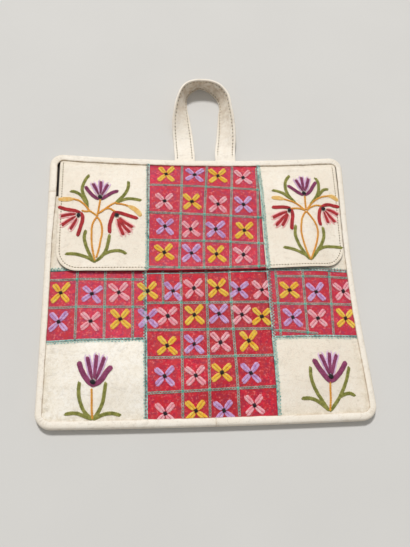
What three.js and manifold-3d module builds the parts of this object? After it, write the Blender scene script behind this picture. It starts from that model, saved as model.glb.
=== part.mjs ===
// A soft leather pouch with a fold-over flap and a loop handle, lying on its back on a table.
// Millimetres, +Z up, +X to the right of its front, +Y towards the handle. The origin is the middle
// of the pouch's back, on the table.
// Its front is patchwork: red embroidered bands make a cross between cream leather corners, and
// the flap carries the cross on upwards. One leather strip binds the edge all the way round.
import * as THREE from "three";
import { mergeVertices } from "three/addons/utils/BufferGeometryUtils.js";
import Module from "manifold-3d";

const wasm = await Module();
wasm.setup();

// Body
const bodyWidth = 280;
const bodyHeight = 254;
const cornerRadius = 13;
const leftBow = 0.6; // how far each long side pulls in at its middle
const rightBow = 4.5;
const rightTopIn = 1; // how far the right side leans in at its top corner
const topBow = 5.4; // how far the top edge dips between its corners
const bottomBow = 1.2; // how far the bottom corners stand above the bottom edge's middle

// Materials' thicknesses, and the room left between two layers
const panelLeather = 1.3;
const liningCloth = 0.7;
const bindingLeather = 1.2;
const layerGap = 0.3;
const hemWidth = 7; // leather turned under at the mouth and round the flap, where a lining stops

// Edge binding, a strip folded over the edge
const bindingWidth = 6.8;
const bindingRound = 2.8; // outside radius of the fold
const foldDepth = 1.5; // leather at the bottom of the fold
const bindingJoin = 3; // where the strip's two ends meet, at the bottom edge

// The empty pouch's slack: the back sinks to the table and the front stands up from it
const frontCrown = 4;
const riseLength = 32; // how far from the binding a layer has reached its full height

// Patchwork, measured from the middle of the body
const crossLeft = -52.2;
const crossRight = 56;
const crossTop = 8;
const crossBottom = -55;
const seamGap = 0.3;

// Flap
const flapSideGap = 1; // between the flap and the binding beside it
const flapFreeEdge = 6; // just below the top of the cross's arms
const flapCornerRadius = 20;
const flapLining = 0.6;
const flapBandLeft = -49.5;
const flapBandRight = 55;
const flapFoldSetback = 9.2; // from the binding's inner edge to the line where the flap folds
const flapFoldProud = 0.8; // its face stands this far above the binding there, to fold back over it
const mouthBelowFold = 29; // the pocket's open edge is this far down from the fold

// Handle, one strap bent into a loop that stands up on its edge at the far end
const strapWidth = 19.5;
const strapLeather = 2;
const strapSkived = 1.2; // thinned where it is sewn in
const strapGap = 20; // between the two legs where they leave the edge
const strapCentre = 5.9;
// The loop's lower edge from the left leg round to the right one, measured from the strap's centre
// line and from the top edge
const loopEdge = [
  [-11.1, 30],
  [-13.9, 50],
  [-15.6, 64],
  [-14.6, 75],
  [-9.2, 82.9],
  [-1, 87.2],
  [7, 84],
  [14, 75.8],
  [17.3, 67],
  [16.2, 55],
  [14.3, 41],
  [12.5, 27],
];
const strapFlatLength = 40; // each leg lies flat this far from its sewn end
const strapUprightLength = 92; // and from here on it stands upright on its edge
const strapEased = 0.4; // how much of its thickness is rounded off each long edge
const strapThinLength = 10; // thin stretch past the binding
const strapDropLength = 14; // over this length it thickens and comes down to the table

const halfWidth = bodyWidth / 2;
const halfHeight = bodyHeight / 2;
const innerX = halfWidth - bindingWidth;
const innerY = halfHeight - bindingWidth;
const sheetInset = foldDepth + layerGap; // the sheets end this far inside the outer edge
const sheetCorner = cornerRadius - sheetInset;
const tableToSheets = bindingLeather + layerGap;
const backLiningLevel = tableToSheets + panelLeather + layerGap;
const frontLiningLevel = backLiningLevel + liningCloth + layerGap;
const frontPanelLevel = frontLiningLevel + liningCloth + layerGap;
const edgeThickness = frontPanelLevel + panelLeather + layerGap + bindingLeather;
const flapThickness = flapLining + layerGap + panelLeather;
const strapLevel = backLiningLevel; // the strap is sewn in above the back panel
const foldY = innerY - flapFoldSetback;
const foldTop = edgeThickness + flapFoldProud; // the flap turns about this height at foldY
const mouthHeight = foldY - mouthBelowFold;
const flapReach = innerX - flapSideGap;

const smooth = (t) => THREE.MathUtils.smoothstep(t, 0, 1);

// From 0 at the binding to 1 where the pouch is fullest
const sideRise = (x) => smooth((innerX - Math.abs(x)) / riseLength);
const bottomRise = (y) => smooth((y + innerY) / riseLength);
const topRise = (y) => smooth((innerY - y) / riseLength);

// The under face of each layer
const backSag = (x, y) => tableToSheets * sideRise(x) * bottomRise(y) * topRise(y);
const backPanelUnder = (x, y) => tableToSheets - backSag(x, y);
const backLiningUnder = (x, y) => backLiningLevel - backSag(x, y);
const frontLift = (x, y) => frontCrown * sideRise(x) * bottomRise(y);
const frontLiningUnder = (x, y) => frontLiningLevel + frontLift(x, y);
const frontPanelUnder = (x, y) => frontPanelLevel + frontLift(x, y);

// The flap leaves its straight fold and has settled on the front panel at the pocket's mouth
function flapUnder(x, y) {
  const onFront = frontPanelUnder(x, y) + panelLeather + layerGap;
  return THREE.MathUtils.lerp(foldTop - flapThickness, onFront, smooth((foldY - y) / mouthBelowFold));
}

// A soft edge is never straight: the sides and the top pull in between the corners
function pullIn(point) {
  const up = THREE.MathUtils.clamp(point.y / halfHeight, -1, 1);
  const across = point.x / halfWidth;
  const rounded = 1 - up * up;
  const leftPull = leftBow * rounded;
  const rightPull = rightBow * rounded * rounded + rightTopIn * smooth(up);
  const nearEdge = (y) => THREE.MathUtils.clamp((y - foldY) / (innerY - foldY), 0, 1);
  const topPull = topBow * (1 - across * across) * nearEdge(point.y);
  const bottomPull = bottomBow * across * across * nearEdge(-point.y);
  point.x -= across * (across < 0 ? leftPull : rightPull);
  point.y += bottomPull - topPull;
}

function toManifold(geometry) {
  const bare = geometry.index ? geometry.toNonIndexed() : geometry.clone();
  bare.deleteAttribute("normal");
  bare.deleteAttribute("uv");
  const merged = mergeVertices(bare, 1e-4);
  return new wasm.Manifold(
    new wasm.Mesh({
      numProp: 3,
      vertProperties: merged.attributes.position.array,
      triVerts: new Uint32Array(merged.index.array),
    }),
  );
}

function toGeometry(manifold) {
  const mesh = manifold.getMesh();
  const geometry = new THREE.BufferGeometry();
  geometry.setAttribute("position", new THREE.BufferAttribute(mesh.vertProperties, 3));
  geometry.setIndex(new THREE.BufferAttribute(mesh.triVerts, 1));
  return geometry;
}

// Places where a curved sheet is divided: often where it rises, seldom where it is level
const riseSteps = 5;
const levelStep = 45;

function riseMarks(start, direction, length) {
  return Array.from({ length: riseSteps + 1 }, (_, i) => start + (direction * length * i) / riseSteps);
}

function levelMarks(low, high) {
  const count = Math.ceil((high - low) / levelStep);
  return Array.from({ length: count - 1 }, (_, i) => low + ((high - low) * (i + 1)) / count);
}

const xMarks = [
  ...riseMarks(-innerX, 1, riseLength),
  ...levelMarks(-innerX + riseLength, innerX - riseLength),
  ...riseMarks(innerX, -1, riseLength),
];
const bodyYMarks = [
  ...riseMarks(-innerY, 1, riseLength),
  ...levelMarks(-innerY + riseLength, innerY - riseLength),
  ...riseMarks(innerY, -1, riseLength),
];
const flapYMarks = [
  ...levelMarks(flapFreeEdge, mouthHeight),
  ...riseMarks(foldY, -1, mouthBelowFold),
];

function linesBetween(low, high, marks) {
  const clearOfEnds = (m) => m > low + 1 && m < high - 1;
  return [low, ...marks.filter(clearOfEnds).sort((a, b) => a - b), high];
}

// A sheet of even thickness over a rectangle, whose under face follows a height function
function sheet(area, marks, under, thickness) {
  const xs = linesBetween(area.left, area.right, xMarks);
  const ys = linesBetween(area.bottom, area.top, marks);
  const columns = xs.length;
  const layerSize = columns * ys.length;
  const positions = [];
  for (const lift of [0, thickness]) {
    for (const y of ys) {
      for (const x of xs) positions.push(x, y, under(x, y) + lift);
    }
  }
  const index = [];
  const quad = (a, b, c, d) => index.push(a, b, c, a, c, d);
  for (let j = 0; j < ys.length - 1; j++) {
    for (let i = 0; i < columns - 1; i++) {
      const a = j * columns + i;
      const b = a + 1;
      const c = b + columns;
      const d = a + columns;
      quad(a + layerSize, b + layerSize, c + layerSize, d + layerSize);
      index.push(a, c, b, a, d, c);
    }
  }
  const rim = [];
  for (let i = 0; i < columns - 1; i++) rim.push(i);
  for (let j = 0; j < ys.length - 1; j++) rim.push(j * columns + columns - 1);
  for (let i = columns - 1; i > 0; i--) rim.push((ys.length - 1) * columns + i);
  for (let j = ys.length - 1; j > 0; j--) rim.push(j * columns);
  rim.forEach((a, k) => {
    const b = rim[(k + 1) % rim.length];
    quad(a, b, b + layerSize, a + layerSize);
  });
  const geometry = new THREE.BufferGeometry();
  geometry.setAttribute("position", new THREE.Float32BufferAttribute(positions, 3));
  geometry.setIndex(index);
  return toManifold(geometry);
}

// A tall block with rounded corners, for trimming a sheet to its outline
function trimmingBlock(area, bottomRadius, topRadius) {
  const { left, right, bottom, top } = area;
  const shape = new THREE.Shape();
  shape.moveTo(left + bottomRadius, bottom);
  shape.lineTo(right - bottomRadius, bottom);
  shape.absarc(right - bottomRadius, bottom + bottomRadius, bottomRadius, -Math.PI / 2, 0);
  shape.lineTo(right, top - topRadius);
  shape.absarc(right - topRadius, top - topRadius, topRadius, 0, Math.PI / 2);
  shape.lineTo(left + topRadius, top);
  shape.absarc(left + topRadius, top - topRadius, topRadius, Math.PI / 2, Math.PI);
  shape.lineTo(left, bottom + bottomRadius);
  shape.absarc(left + bottomRadius, bottom + bottomRadius, bottomRadius, Math.PI, Math.PI * 1.5);
  const reach = 3 * edgeThickness;
  const block = new THREE.ExtrudeGeometry(shape, {
    depth: 2 * reach,
    bevelEnabled: false,
    curveSegments: 8,
  });
  block.translate(0, 0, -reach);
  return toManifold(block);
}

const bodyArea = {
  left: -halfWidth + sheetInset,
  right: halfWidth - sheetInset,
  bottom: -halfHeight + sheetInset,
  top: halfHeight - sheetInset,
};
const bodyBlock = trimmingBlock(bodyArea, sheetCorner, sheetCorner);

// Joins the points of one ring to the next; both ends are capped, or the last ring meets the first
function skin(rings, closed) {
  const around = rings[0].length;
  const positions = rings.flat().flatMap((p) => [p.x, p.y, p.z]);
  const index = [];
  const last = closed ? rings.length : rings.length - 1;
  for (let r = 0; r < last; r++) {
    const next = (r + 1) % rings.length;
    for (let i = 0; i < around; i++) {
      const k = (i + 1) % around;
      const a = r * around + i;
      const b = r * around + k;
      const c = next * around + k;
      const d = next * around + i;
      index.push(a, b, c, a, c, d);
    }
  }
  if (!closed) {
    const end = (rings.length - 1) * around;
    for (let i = 1; i < around - 1; i++) {
      index.push(0, i + 1, i);
      index.push(end, end + i, end + i + 1);
    }
  }
  const geometry = new THREE.BufferGeometry();
  geometry.setAttribute("position", new THREE.Float32BufferAttribute(positions, 3));
  geometry.setIndex(index);
  return toManifold(geometry);
}

// The folded strip's section: x is the distance in from the outer edge, y is the height
function bindingSection() {
  const shape = new THREE.Shape();
  shape.moveTo(bindingWidth, 0);
  shape.lineTo(bindingWidth, bindingLeather);
  shape.lineTo(foldDepth, bindingLeather);
  shape.lineTo(foldDepth, edgeThickness - bindingLeather);
  shape.lineTo(bindingWidth, edgeThickness - bindingLeather);
  shape.lineTo(bindingWidth, edgeThickness);
  shape.lineTo(bindingRound, edgeThickness);
  const upperCentre = edgeThickness - bindingRound;
  shape.absarc(bindingRound, upperCentre, bindingRound, Math.PI / 2, Math.PI);
  shape.lineTo(0, bindingRound);
  shape.absarc(bindingRound, bindingRound, bindingRound, Math.PI, Math.PI * 1.5);
  const points = shape.getPoints(4);
  return points.filter((p, i) => p.distanceTo(points[(i + 1) % points.length]) > 1e-6);
}

// Stations round the outer edge, anticlockwise from above, each with its direction inwards
function edgeStations() {
  const sideDivisions = 20;
  const cornerDivisions = 6;
  const x = halfWidth - cornerRadius;
  const y = halfHeight - cornerRadius;
  const centres = [
    [x, y],
    [-x, y],
    [-x, -y],
    [x, -y],
  ];
  const stations = [];
  centres.forEach(([cx, cy], corner) => {
    for (let i = 0; i <= cornerDivisions; i++) {
      const angle = (Math.PI / 2) * (corner + i / cornerDivisions);
      const out = new THREE.Vector2(Math.cos(angle), Math.sin(angle));
      const at = new THREE.Vector2(cx, cy).addScaledVector(out, cornerRadius);
      stations.push({ at, inwards: out.negate() });
    }
    const from = stations.at(-1);
    const [nx, ny] = centres[(corner + 1) % 4];
    const to = new THREE.Vector2(nx, ny).addScaledVector(from.inwards, -cornerRadius);
    for (let i = 1; i < sideDivisions; i++) {
      stations.push({ at: from.at.clone().lerp(to, i / sideDivisions), inwards: from.inwards });
    }
  });
  return stations;
}

// The strap's lower edge seen from above, from one sewn end round to the other
function loopPlan() {
  const inner = strapGap / 2;
  const leg = [
    [inner, -bindingWidth],
    [inner, strapThinLength],
  ];
  const along = [...leg.map(([x, y]) => [-x, y]), ...loopEdge, ...leg.toReversed()];
  const points = along.map(([x, y]) => new THREE.Vector3(strapCentre + x, halfHeight + y, 0));
  return new THREE.CatmullRomCurve3(points, false, "centripetal");
}

// One cross-section of the strap: a flat bar with eased edges, turned up by the lean
function strapRing(edge, outwards, lean, lift, thickness) {
  const eased = strapEased * thickness;
  const upwards = new THREE.Vector3(0, 0, 1);
  const across = outwards.clone().multiplyScalar(Math.cos(lean)).addScaledVector(upwards, Math.sin(lean));
  const through = upwards.clone().multiplyScalar(Math.cos(lean)).addScaledVector(outwards, -Math.sin(lean));
  const t = thickness / 2;
  const outline = [
    [0, -t + eased],
    [eased, -t],
    [strapWidth - eased, -t],
    [strapWidth, -t + eased],
    [strapWidth, t - eased],
    [strapWidth - eased, t],
    [eased, t],
    [0, t - eased],
  ];
  const base = edge.clone().setZ(lift + t * Math.abs(Math.cos(lean)));
  return outline.map(([w, h]) => base.clone().addScaledVector(across, w).addScaledVector(through, h));
}

function strapRings() {
  const plan = loopPlan();
  const length = plan.getLength();
  const steps = 56;
  const rings = [];
  for (let i = 0; i <= steps; i++) {
    const edge = plan.getPointAt(i / steps);
    const tangent = plan.getTangentAt(i / steps);
    const outwards = new THREE.Vector3(-tangent.y, tangent.x, 0).normalize();
    const fromEnd = (length * Math.min(i, steps - i)) / steps;
    const settled = smooth((fromEnd - bindingWidth - strapThinLength / 2) / strapDropLength);
    const turned = smooth((fromEnd - strapFlatLength) / (strapUprightLength - strapFlatLength));
    const thickness = THREE.MathUtils.lerp(strapSkived, strapLeather, settled);
    const lift = THREE.MathUtils.lerp(strapLevel, 0, settled);
    rings.push(strapRing(edge, outwards, (Math.PI / 2) * turned, lift, thickness));
  }
  return rings;
}

// The cut between the binding's two ends
function joinCut() {
  const cut = new THREE.BoxGeometry(seamGap, 2 * bindingWidth + 2, 3 * edgeThickness);
  cut.translate(bindingJoin, -halfHeight, 0);
  return toManifold(cut);
}

// The slit in the binding's fold that one leg of the strap goes through
function strapSlit(side) {
  const x = strapCentre + (side * (strapGap + strapWidth)) / 2;
  const slit = new THREE.BoxGeometry(
    strapWidth + 2 * layerGap,
    2 * foldDepth + 2 * layerGap,
    strapSkived + 2 * layerGap,
  );
  slit.translate(x, halfHeight, strapLevel + strapSkived / 2);
  return toManifold(slit);
}

const cream = { color: 0xe9dfc8, roughness: 0.55, metalness: 0 };
const creamEdge = { color: 0xeee5d1, roughness: 0.5, metalness: 0 };
const red = { color: 0xb8173a, roughness: 0.75, metalness: 0 };
const lining = { color: 0xcdbf9f, roughness: 0.9, metalness: 0 };

const pouch = new THREE.Group();
const longestEdge = 24; // so that long straight edges can follow the bows

function addPiece(name, manifold, finish, owner = pouch) {
  const geometry = toGeometry(manifold.refineToLength(longestEdge));
  const position = geometry.attributes.position;
  const point = new THREE.Vector3();
  for (let i = 0; i < position.count; i++) {
    point.fromBufferAttribute(position, i);
    pullIn(point);
    position.setXYZ(i, point.x, point.y, point.z);
  }
  geometry.computeVertexNormals();
  const mesh = new THREE.Mesh(geometry, new THREE.MeshStandardMaterial(finish));
  mesh.name = name;
  owner.add(mesh);
}

function addBack() {
  const panel = sheet(bodyArea, bodyYMarks, backPanelUnder, panelLeather);
  addPiece("back_panel", panel.intersect(bodyBlock), cream);
  // Its top edge stops short of the strap's sewn ends
  const liningArea = { ...bodyArea, top: innerY - layerGap };
  const backLining = sheet(liningArea, bodyYMarks, backLiningUnder, liningCloth);
  addPiece("back_lining", backLining.intersect(bodyBlock), lining);
}

// A turned-under edge fills the lining's level and reaches half way up into the leather above it
const hemThickness = (cloth) => cloth + layerGap + panelLeather / 2;

function addFront() {
  const pocketArea = { ...bodyArea, top: mouthHeight - hemWidth - layerGap };
  const frontLining = sheet(pocketArea, bodyYMarks, frontLiningUnder, liningCloth);
  addPiece("front_lining", frontLining.intersect(bodyBlock), lining);

  const columns = {
    left: { left: bodyArea.left, right: crossLeft - seamGap },
    right: { left: crossRight + seamGap, right: bodyArea.right },
  };
  const hem = (span) => {
    const area = { ...span, bottom: mouthHeight - hemWidth, top: mouthHeight };
    return sheet(area, bodyYMarks, frontLiningUnder, hemThickness(liningCloth));
  };
  const rows = {
    upper: { bottom: crossTop + seamGap, top: mouthHeight },
    arm: { bottom: crossBottom + seamGap, top: crossTop },
    lower: { bottom: bodyArea.bottom, top: crossBottom },
  };
  for (const [side, column] of Object.entries(columns)) {
    for (const [row, span] of Object.entries(rows)) {
      const flat = sheet({ ...column, ...span }, bodyYMarks, frontPanelUnder, panelLeather);
      const patch = row === "upper" ? flat.add(hem(column)) : flat;
      const name = row === "arm" ? `cross_arm_${side}` : `front_patch_${row}_${side}`;
      addPiece(name, patch.intersect(bodyBlock), row === "arm" ? red : cream);
    }
  }
  const bandArea = { left: crossLeft, right: crossRight, bottom: bodyArea.bottom, top: mouthHeight };
  const band = sheet(bandArea, bodyYMarks, frontPanelUnder, panelLeather).add(hem(bandArea));
  addPiece("cross_centre_band", band.intersect(bodyBlock), red);
}

function addEdge() {
  const section = bindingSection();
  const rings = edgeStations().map(({ at, inwards }) =>
    section.map((p) => {
      const flat = at.clone().addScaledVector(inwards, p.x);
      return new THREE.Vector3(flat.x, flat.y, p.y);
    }),
  );
  const strip = skin(rings, true).subtract(joinCut());
  addPiece("edge_binding", strip.subtract(strapSlit(-1)).subtract(strapSlit(1)), creamEdge);
}

// The flap's sewn edge, caught under the binding; it stops just short of the fold line
function addFlapRoot() {
  const inBinding = strapLevel + strapSkived + layerGap;
  const rootThickness = edgeThickness - bindingLeather - layerGap - inBinding;
  const atFold = foldTop - layerGap - rootThickness;
  const end = foldY + layerGap;
  const under = (x, y) => THREE.MathUtils.lerp(atFold, inBinding, smooth((y - end) / (innerY - end)));
  const area = {
    left: -halfWidth + cornerRadius,
    right: halfWidth - cornerRadius,
    bottom: end,
    top: bodyArea.top,
  };
  const marks = riseMarks(end, 1, innerY - end);
  addPiece("flap_root", sheet(area, marks, under, rootThickness), cream);
}

function addFlap() {
  const outline = { left: -flapReach, right: flapReach, bottom: flapFreeEdge, top: foldY };
  // The flap's outline, set in from its three free edges
  const blockInside = (inset) => {
    const { left, right, bottom, top } = outline;
    const area = { left: left + inset, right: right - inset, bottom: bottom + inset, top: top + edgeThickness };
    return trimmingBlock(area, flapCornerRadius - inset, layerGap);
  };
  const block = blockInside(0);
  const hemLine = blockInside(hemWidth);
  const liningSheet = sheet(outline, flapYMarks, flapUnder, flapLining);
  const leatherUnder = (x, y) => flapUnder(x, y) + flapLining + layerGap;
  const flap = new THREE.Group();
  addPiece("flap_lining", liningSheet.intersect(blockInside(hemWidth + layerGap)), lining, flap);
  const columns = {
    flap_patch_left: { left: outline.left, right: flapBandLeft - seamGap },
    flap_centre_band: { left: flapBandLeft, right: flapBandRight },
    flap_patch_right: { left: flapBandRight + seamGap, right: outline.right },
  };
  for (const [name, column] of Object.entries(columns)) {
    const area = { ...outline, ...column };
    const leather = sheet(area, flapYMarks, leatherUnder, panelLeather);
    const hem = sheet(area, flapYMarks, flapUnder, hemThickness(flapLining)).subtract(hemLine);
    addPiece(name, leather.add(hem).intersect(block), name.includes("band") ? red : cream, flap);
  }
  pouch.add(flap);
}

addBack();
addFront();
addEdge();
addFlapRoot();
addFlap();
addPiece("handle_strap", skin(strapRings(), false), creamEdge);

export default pouch;
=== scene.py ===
import math
import random

import bpy
import numpy as np
from mathutils import Matrix, Vector


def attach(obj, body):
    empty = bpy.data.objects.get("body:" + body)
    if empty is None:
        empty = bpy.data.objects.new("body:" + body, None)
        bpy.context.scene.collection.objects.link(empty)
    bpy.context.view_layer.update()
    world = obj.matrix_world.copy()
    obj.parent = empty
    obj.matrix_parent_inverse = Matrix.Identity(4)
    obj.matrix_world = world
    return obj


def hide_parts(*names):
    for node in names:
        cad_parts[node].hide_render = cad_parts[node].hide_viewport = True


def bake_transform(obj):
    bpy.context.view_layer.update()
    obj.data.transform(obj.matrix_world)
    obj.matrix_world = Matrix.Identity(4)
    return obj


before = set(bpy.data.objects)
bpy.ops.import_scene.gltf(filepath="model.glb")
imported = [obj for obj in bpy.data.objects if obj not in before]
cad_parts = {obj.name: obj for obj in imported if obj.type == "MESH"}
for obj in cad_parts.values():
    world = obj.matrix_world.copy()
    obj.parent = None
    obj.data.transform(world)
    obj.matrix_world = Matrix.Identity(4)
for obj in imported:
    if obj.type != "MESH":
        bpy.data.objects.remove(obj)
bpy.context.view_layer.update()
mm = 0.001  # all measures below are in millimetres; the scene is in metres


def pickOnly(*pieces):
    bpy.ops.object.select_all(action="DESELECT")
    for piece in pieces:
        piece.select_set(True)
    bpy.context.view_layer.objects.active = pieces[0]


def readPoints(piece):
    spots = np.empty(len(piece.data.vertices) * 3)
    piece.data.vertices.foreach_get("co", spots)
    return spots.reshape(-1, 3) / mm


def movePoints(piece, spots):
    piece.data.vertices.foreach_set("co", (np.asarray(spots) * mm).ravel())
    piece.data.update()


def applyModifier(piece, kind, **settings):
    pickOnly(piece)
    modifier = piece.modifiers.new(kind.lower(), kind)
    for key, value in settings.items():
        setattr(modifier, key, value)
    bpy.ops.object.modifier_apply(modifier=modifier.name)


def repeat(piece, count, x, y=0):
    applyModifier(
        piece, "ARRAY", count=count, use_relative_offset=False, use_constant_offset=True,
        constant_offset_displace=(x * mm, y * mm, 0),
    )


# Steps in edit mode, each on the whole mesh
def editWhole(piece, *steps):
    pickOnly(piece)
    bpy.ops.object.mode_set(mode="EDIT")
    for operator, settings in steps:
        bpy.ops.mesh.select_all(action="SELECT")
        operator(**settings)
    bpy.ops.object.mode_set(mode="OBJECT")


def joined(pieces, name):
    pickOnly(*pieces)
    if len(pieces) > 1:
        bpy.ops.object.join()
    whole = bpy.context.view_layer.objects.active
    bpy.ops.object.transform_apply(location=True, rotation=True, scale=True)
    whole.name = whole.data.name = name
    return whole


def linked(name, data):
    thing = bpy.data.objects.new(name, data)
    bpy.context.scene.collection.objects.link(thing)
    return thing


def ownCopy(piece, spot=Matrix.Identity(4)):
    twin = linked(piece.name, piece.data.copy())
    twin.matrix_world = spot
    return twin


def threwAway(pieces):
    for piece in pieces:
        bpy.data.objects.remove(piece)


def smoothShade(piece, angle=50):
    pickOnly(piece)
    bpy.ops.object.shade_smooth_by_angle(angle=math.radians(angle))


def placeAt(x, y, z=0):
    return Matrix.Translation((x * mm, y * mm, z * mm))


def giveAttribute(piece, name, values, kind="FLOAT", field="value"):
    layer = piece.data.attributes.new(name, kind, "POINT")
    layer.data.foreach_set(field, np.asarray(values, float).ravel())


# Each point remembers where it lay at rest, so that grain stays put on leather that bends
def rememberPlace(piece, wornAndShadedNear=None):
    giveAttribute(piece, "restPlace", readPoints(piece) * mm, "FLOAT_VECTOR", "vector")
    if wornAndShadedNear is not None:
        giveAttribute(piece, "wornAndShadedNear", wornAndShadedNear)


print("camera, light and floor")
cameraSetup = {
    "spot": (-0.0511, -0.1891, 0.4985),
    "right": (0.9952, -0.0406, 0.0885),
    "up": (0.0053, 0.9298, 0.3680),
    "focalPixels": 600,
    "photoHeight": 547,
    "sensor": 36,
    "clipStart": 0.01,
}


def setCamera():
    setup = cameraSetup
    right = Vector(setup["right"]).normalized()
    back = right.cross(Vector(setup["up"])).normalized()
    up = back.cross(right)
    data = bpy.data.cameras.new("photoCamera")
    data.sensor_width = setup["sensor"]
    data.lens = setup["focalPixels"] / setup["photoHeight"] * data.sensor_width
    data.clip_start = setup["clipStart"]
    camera = linked("photoCamera", data)
    turn = Matrix((right, up, back)).transposed().to_4x4()
    camera.matrix_world = Matrix.Translation(setup["spot"]) @ turn
    bpy.context.scene.camera = camera


lightSetup = {
    "keyFrom": (-0.8, 3.7, 6.5),  # from beyond the handle, as the shadows in its loop show
    "keySize": 1.2,
    "keyWatts": 418.0,
    "sky": (1.0, 0.995, 0.98, 1.0),
    "skyLevel": 0.42,
    "floorSize": 6.0,
    "floorLevel": -0.0001,
}


# From a colour as a screen shows it, 0 to 255, to the one that a shader takes
def paint(red, green, blue):
    values = []
    for value in (red / 255, green / 255, blue / 255):
        values.append(value / 12.92 if value <= 0.04045 else ((value + 0.055) / 1.055) ** 2.4)
    return (*values, 1.0)


def setLights():
    setup = lightSetup
    lamp = bpy.data.lights.new("windowLight", "AREA")
    lamp.shape = "DISK"
    lamp.size = setup["keySize"]
    lamp.energy = setup["keyWatts"]
    key = linked("windowLight", lamp)
    key.location = setup["keyFrom"]
    key.rotation_euler = (-Vector(setup["keyFrom"])).to_track_quat("-Z", "Y").to_euler()
    world = bpy.data.worlds.new("studioSky")
    world.use_nodes = True
    sky = world.node_tree.nodes["Background"]
    sky.inputs["Color"].default_value = setup["sky"]
    sky.inputs["Strength"].default_value = setup["skyLevel"]
    bpy.context.scene.world = world
    bpy.context.scene.view_settings.view_transform = "Standard"


setCamera()
setLights()


# A source is a number, a colour or another node's socket
def plug(tree, inputs, sources):
    for key, source in sources.items():
        if isinstance(source, bpy.types.NodeSocket):
            tree.links.new(source, inputs[key])
        else:
            inputs[key].default_value = source


def addNode(tree, kind, settings=None, sources=None):
    node = tree.nodes.new("ShaderNode" + kind)
    for key, value in (settings or {}).items():
        setattr(node, key, value)
    plug(tree, node.inputs, sources or {})
    return node.outputs


def mathNode(tree, operation, *values):
    return addNode(tree, "Math", {"operation": operation}, dict(enumerate(values)))[0]


def times(tree, first, second):
    return mathNode(tree, "MULTIPLY", first, second)


def timesPlus(tree, first, second, third):
    return mathNode(tree, "MULTIPLY_ADD", first, second, third)


def mixColours(tree, share, first, second, mode="MIX"):
    settings = {"data_type": "RGBA", "blend_type": mode}
    return addNode(tree, "Mix", settings, {0: share, 6: first, 7: second})[2]


def spread(tree, value, low, high, outLow=0.0, outHigh=1.0):
    sources = {"Value": value, "From Min": low, "From Max": high, "To Min": outLow, "To Max": outHigh}
    return addNode(tree, "MapRange", {"interpolation_type": "SMOOTHSTEP"}, sources)[0]


def noiseNode(tree, place, scale, detail=3.0, roughness=0.5, distortion=0.0):
    sources = {"Vector": place, "Scale": scale, "Detail": detail, "Roughness": roughness}
    return addNode(tree, "TexNoise", None, {**sources, "Distortion": distortion})["Fac"]


def stretchedPlace(tree, place, scale, turn=0.0):
    return addNode(tree, "Mapping", None, {"Vector": place, "Rotation": (0, 0, turn), "Scale": scale})[0]


# Inputs have a usual value, or None for a vector; every output is a number
def newGroup(name, inputs, outputs):
    group = bpy.data.node_groups.new(name, "ShaderNodeTree")
    for label, value in inputs.items():
        kind = "NodeSocketVector" if value is None else "NodeSocketFloat"
        socket = group.interface.new_socket(label, in_out="INPUT", socket_type=kind)
        if value is not None:
            socket.default_value = value
    for label in outputs:
        group.interface.new_socket(label, in_out="OUTPUT", socket_type="NodeSocketFloat")
    return group, group.nodes.new("NodeGroupInput").outputs, group.nodes.new("NodeGroupOutput").inputs


def makeLeatherGrain():
    inputs = {"Place": None, "Pebbles per metre": 1000.0, "Creasing": 0.4}
    tree, given, result = newGroup("leatherGrain", inputs, ["Height", "Pits", "Creases"])
    place = given["Place"]
    wander = noiseNode(tree, place, 260.0, 2.0)
    sources = {"Randomness": 0.9, "Vector": place, "Scale": given["Pebbles per metre"]}
    cells = addNode(tree, "TexVoronoi", {"feature": "DISTANCE_TO_EDGE"}, sources)["Distance"]
    pebble = spread(tree, cells, 0.0, 0.22)
    fine = noiseNode(tree, place, 2600.0, 3.0, 0.6)
    # long soft creases, where a stretched noise crosses its middle value
    folds = noiseNode(tree, stretchedPlace(tree, place, (1.0, 2.3, 1.0), 0.7), 42.0, 5.0, 0.62, 0.8)
    offMiddle = mathNode(tree, "ABSOLUTE", mathNode(tree, "SUBTRACT", folds, 0.5))
    crease = spread(tree, offMiddle, 0.0, 0.028, 1.0, 0.0)
    crease = times(tree, crease, spread(tree, wander, 0.4, 0.62))
    crease = times(tree, crease, given["Creasing"])
    height = times(tree, pebble, 0.55)
    for source, share in ((fine, 0.3), (crease, -1.6), (wander, 0.5)):
        height = timesPlus(tree, source, share, height)
    pits = mathNode(tree, "SUBTRACT", 1.0, pebble)
    plug(tree, result, {"Height": height, "Pits": pits, "Creases": crease})
    return tree


# Each tone's noise (spots per metre, detail, roughness, distortion) and the part of it that is used
hideTones = {
    "Broad": (16.0, 2.0, 0.5, 0.0, 0.35, 0.65),
    "Patchy": (115.0, 4.0, 0.62, 0.4, 0.38, 0.64),
    "Specks": (520.0, 3.0, 0.75, 0.0, 0.54, 0.68),
    "Flecks": (300.0, 4.0, 0.75, 0.3, 0.46, 0.6),
}


def makeHideTone():
    tree, given, result = newGroup("hideTone", {"Place": None}, hideTones)
    for label, (*noise, low, high) in hideTones.items():
        plug(tree, result, {label: spread(tree, noiseNode(tree, given["Place"], *noise), low, high)})
    return tree


# Where a leather takes its worn-and-shaded colour, broken up by noise: wear at some places, painted shade at
# others
def makeWornAndShadedEdge():
    tree, given, result = newGroup("wornAndShadedEdge", {"Place": None, "Near": 0.0}, ["WornAndShaded"])
    broken = spread(tree, noiseNode(tree, given["Place"], 210.0, 4.0, 0.65), 0.32, 0.68)
    plug(tree, result, {"WornAndShaded": times(tree, given["Near"], broken)})
    return tree


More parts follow.
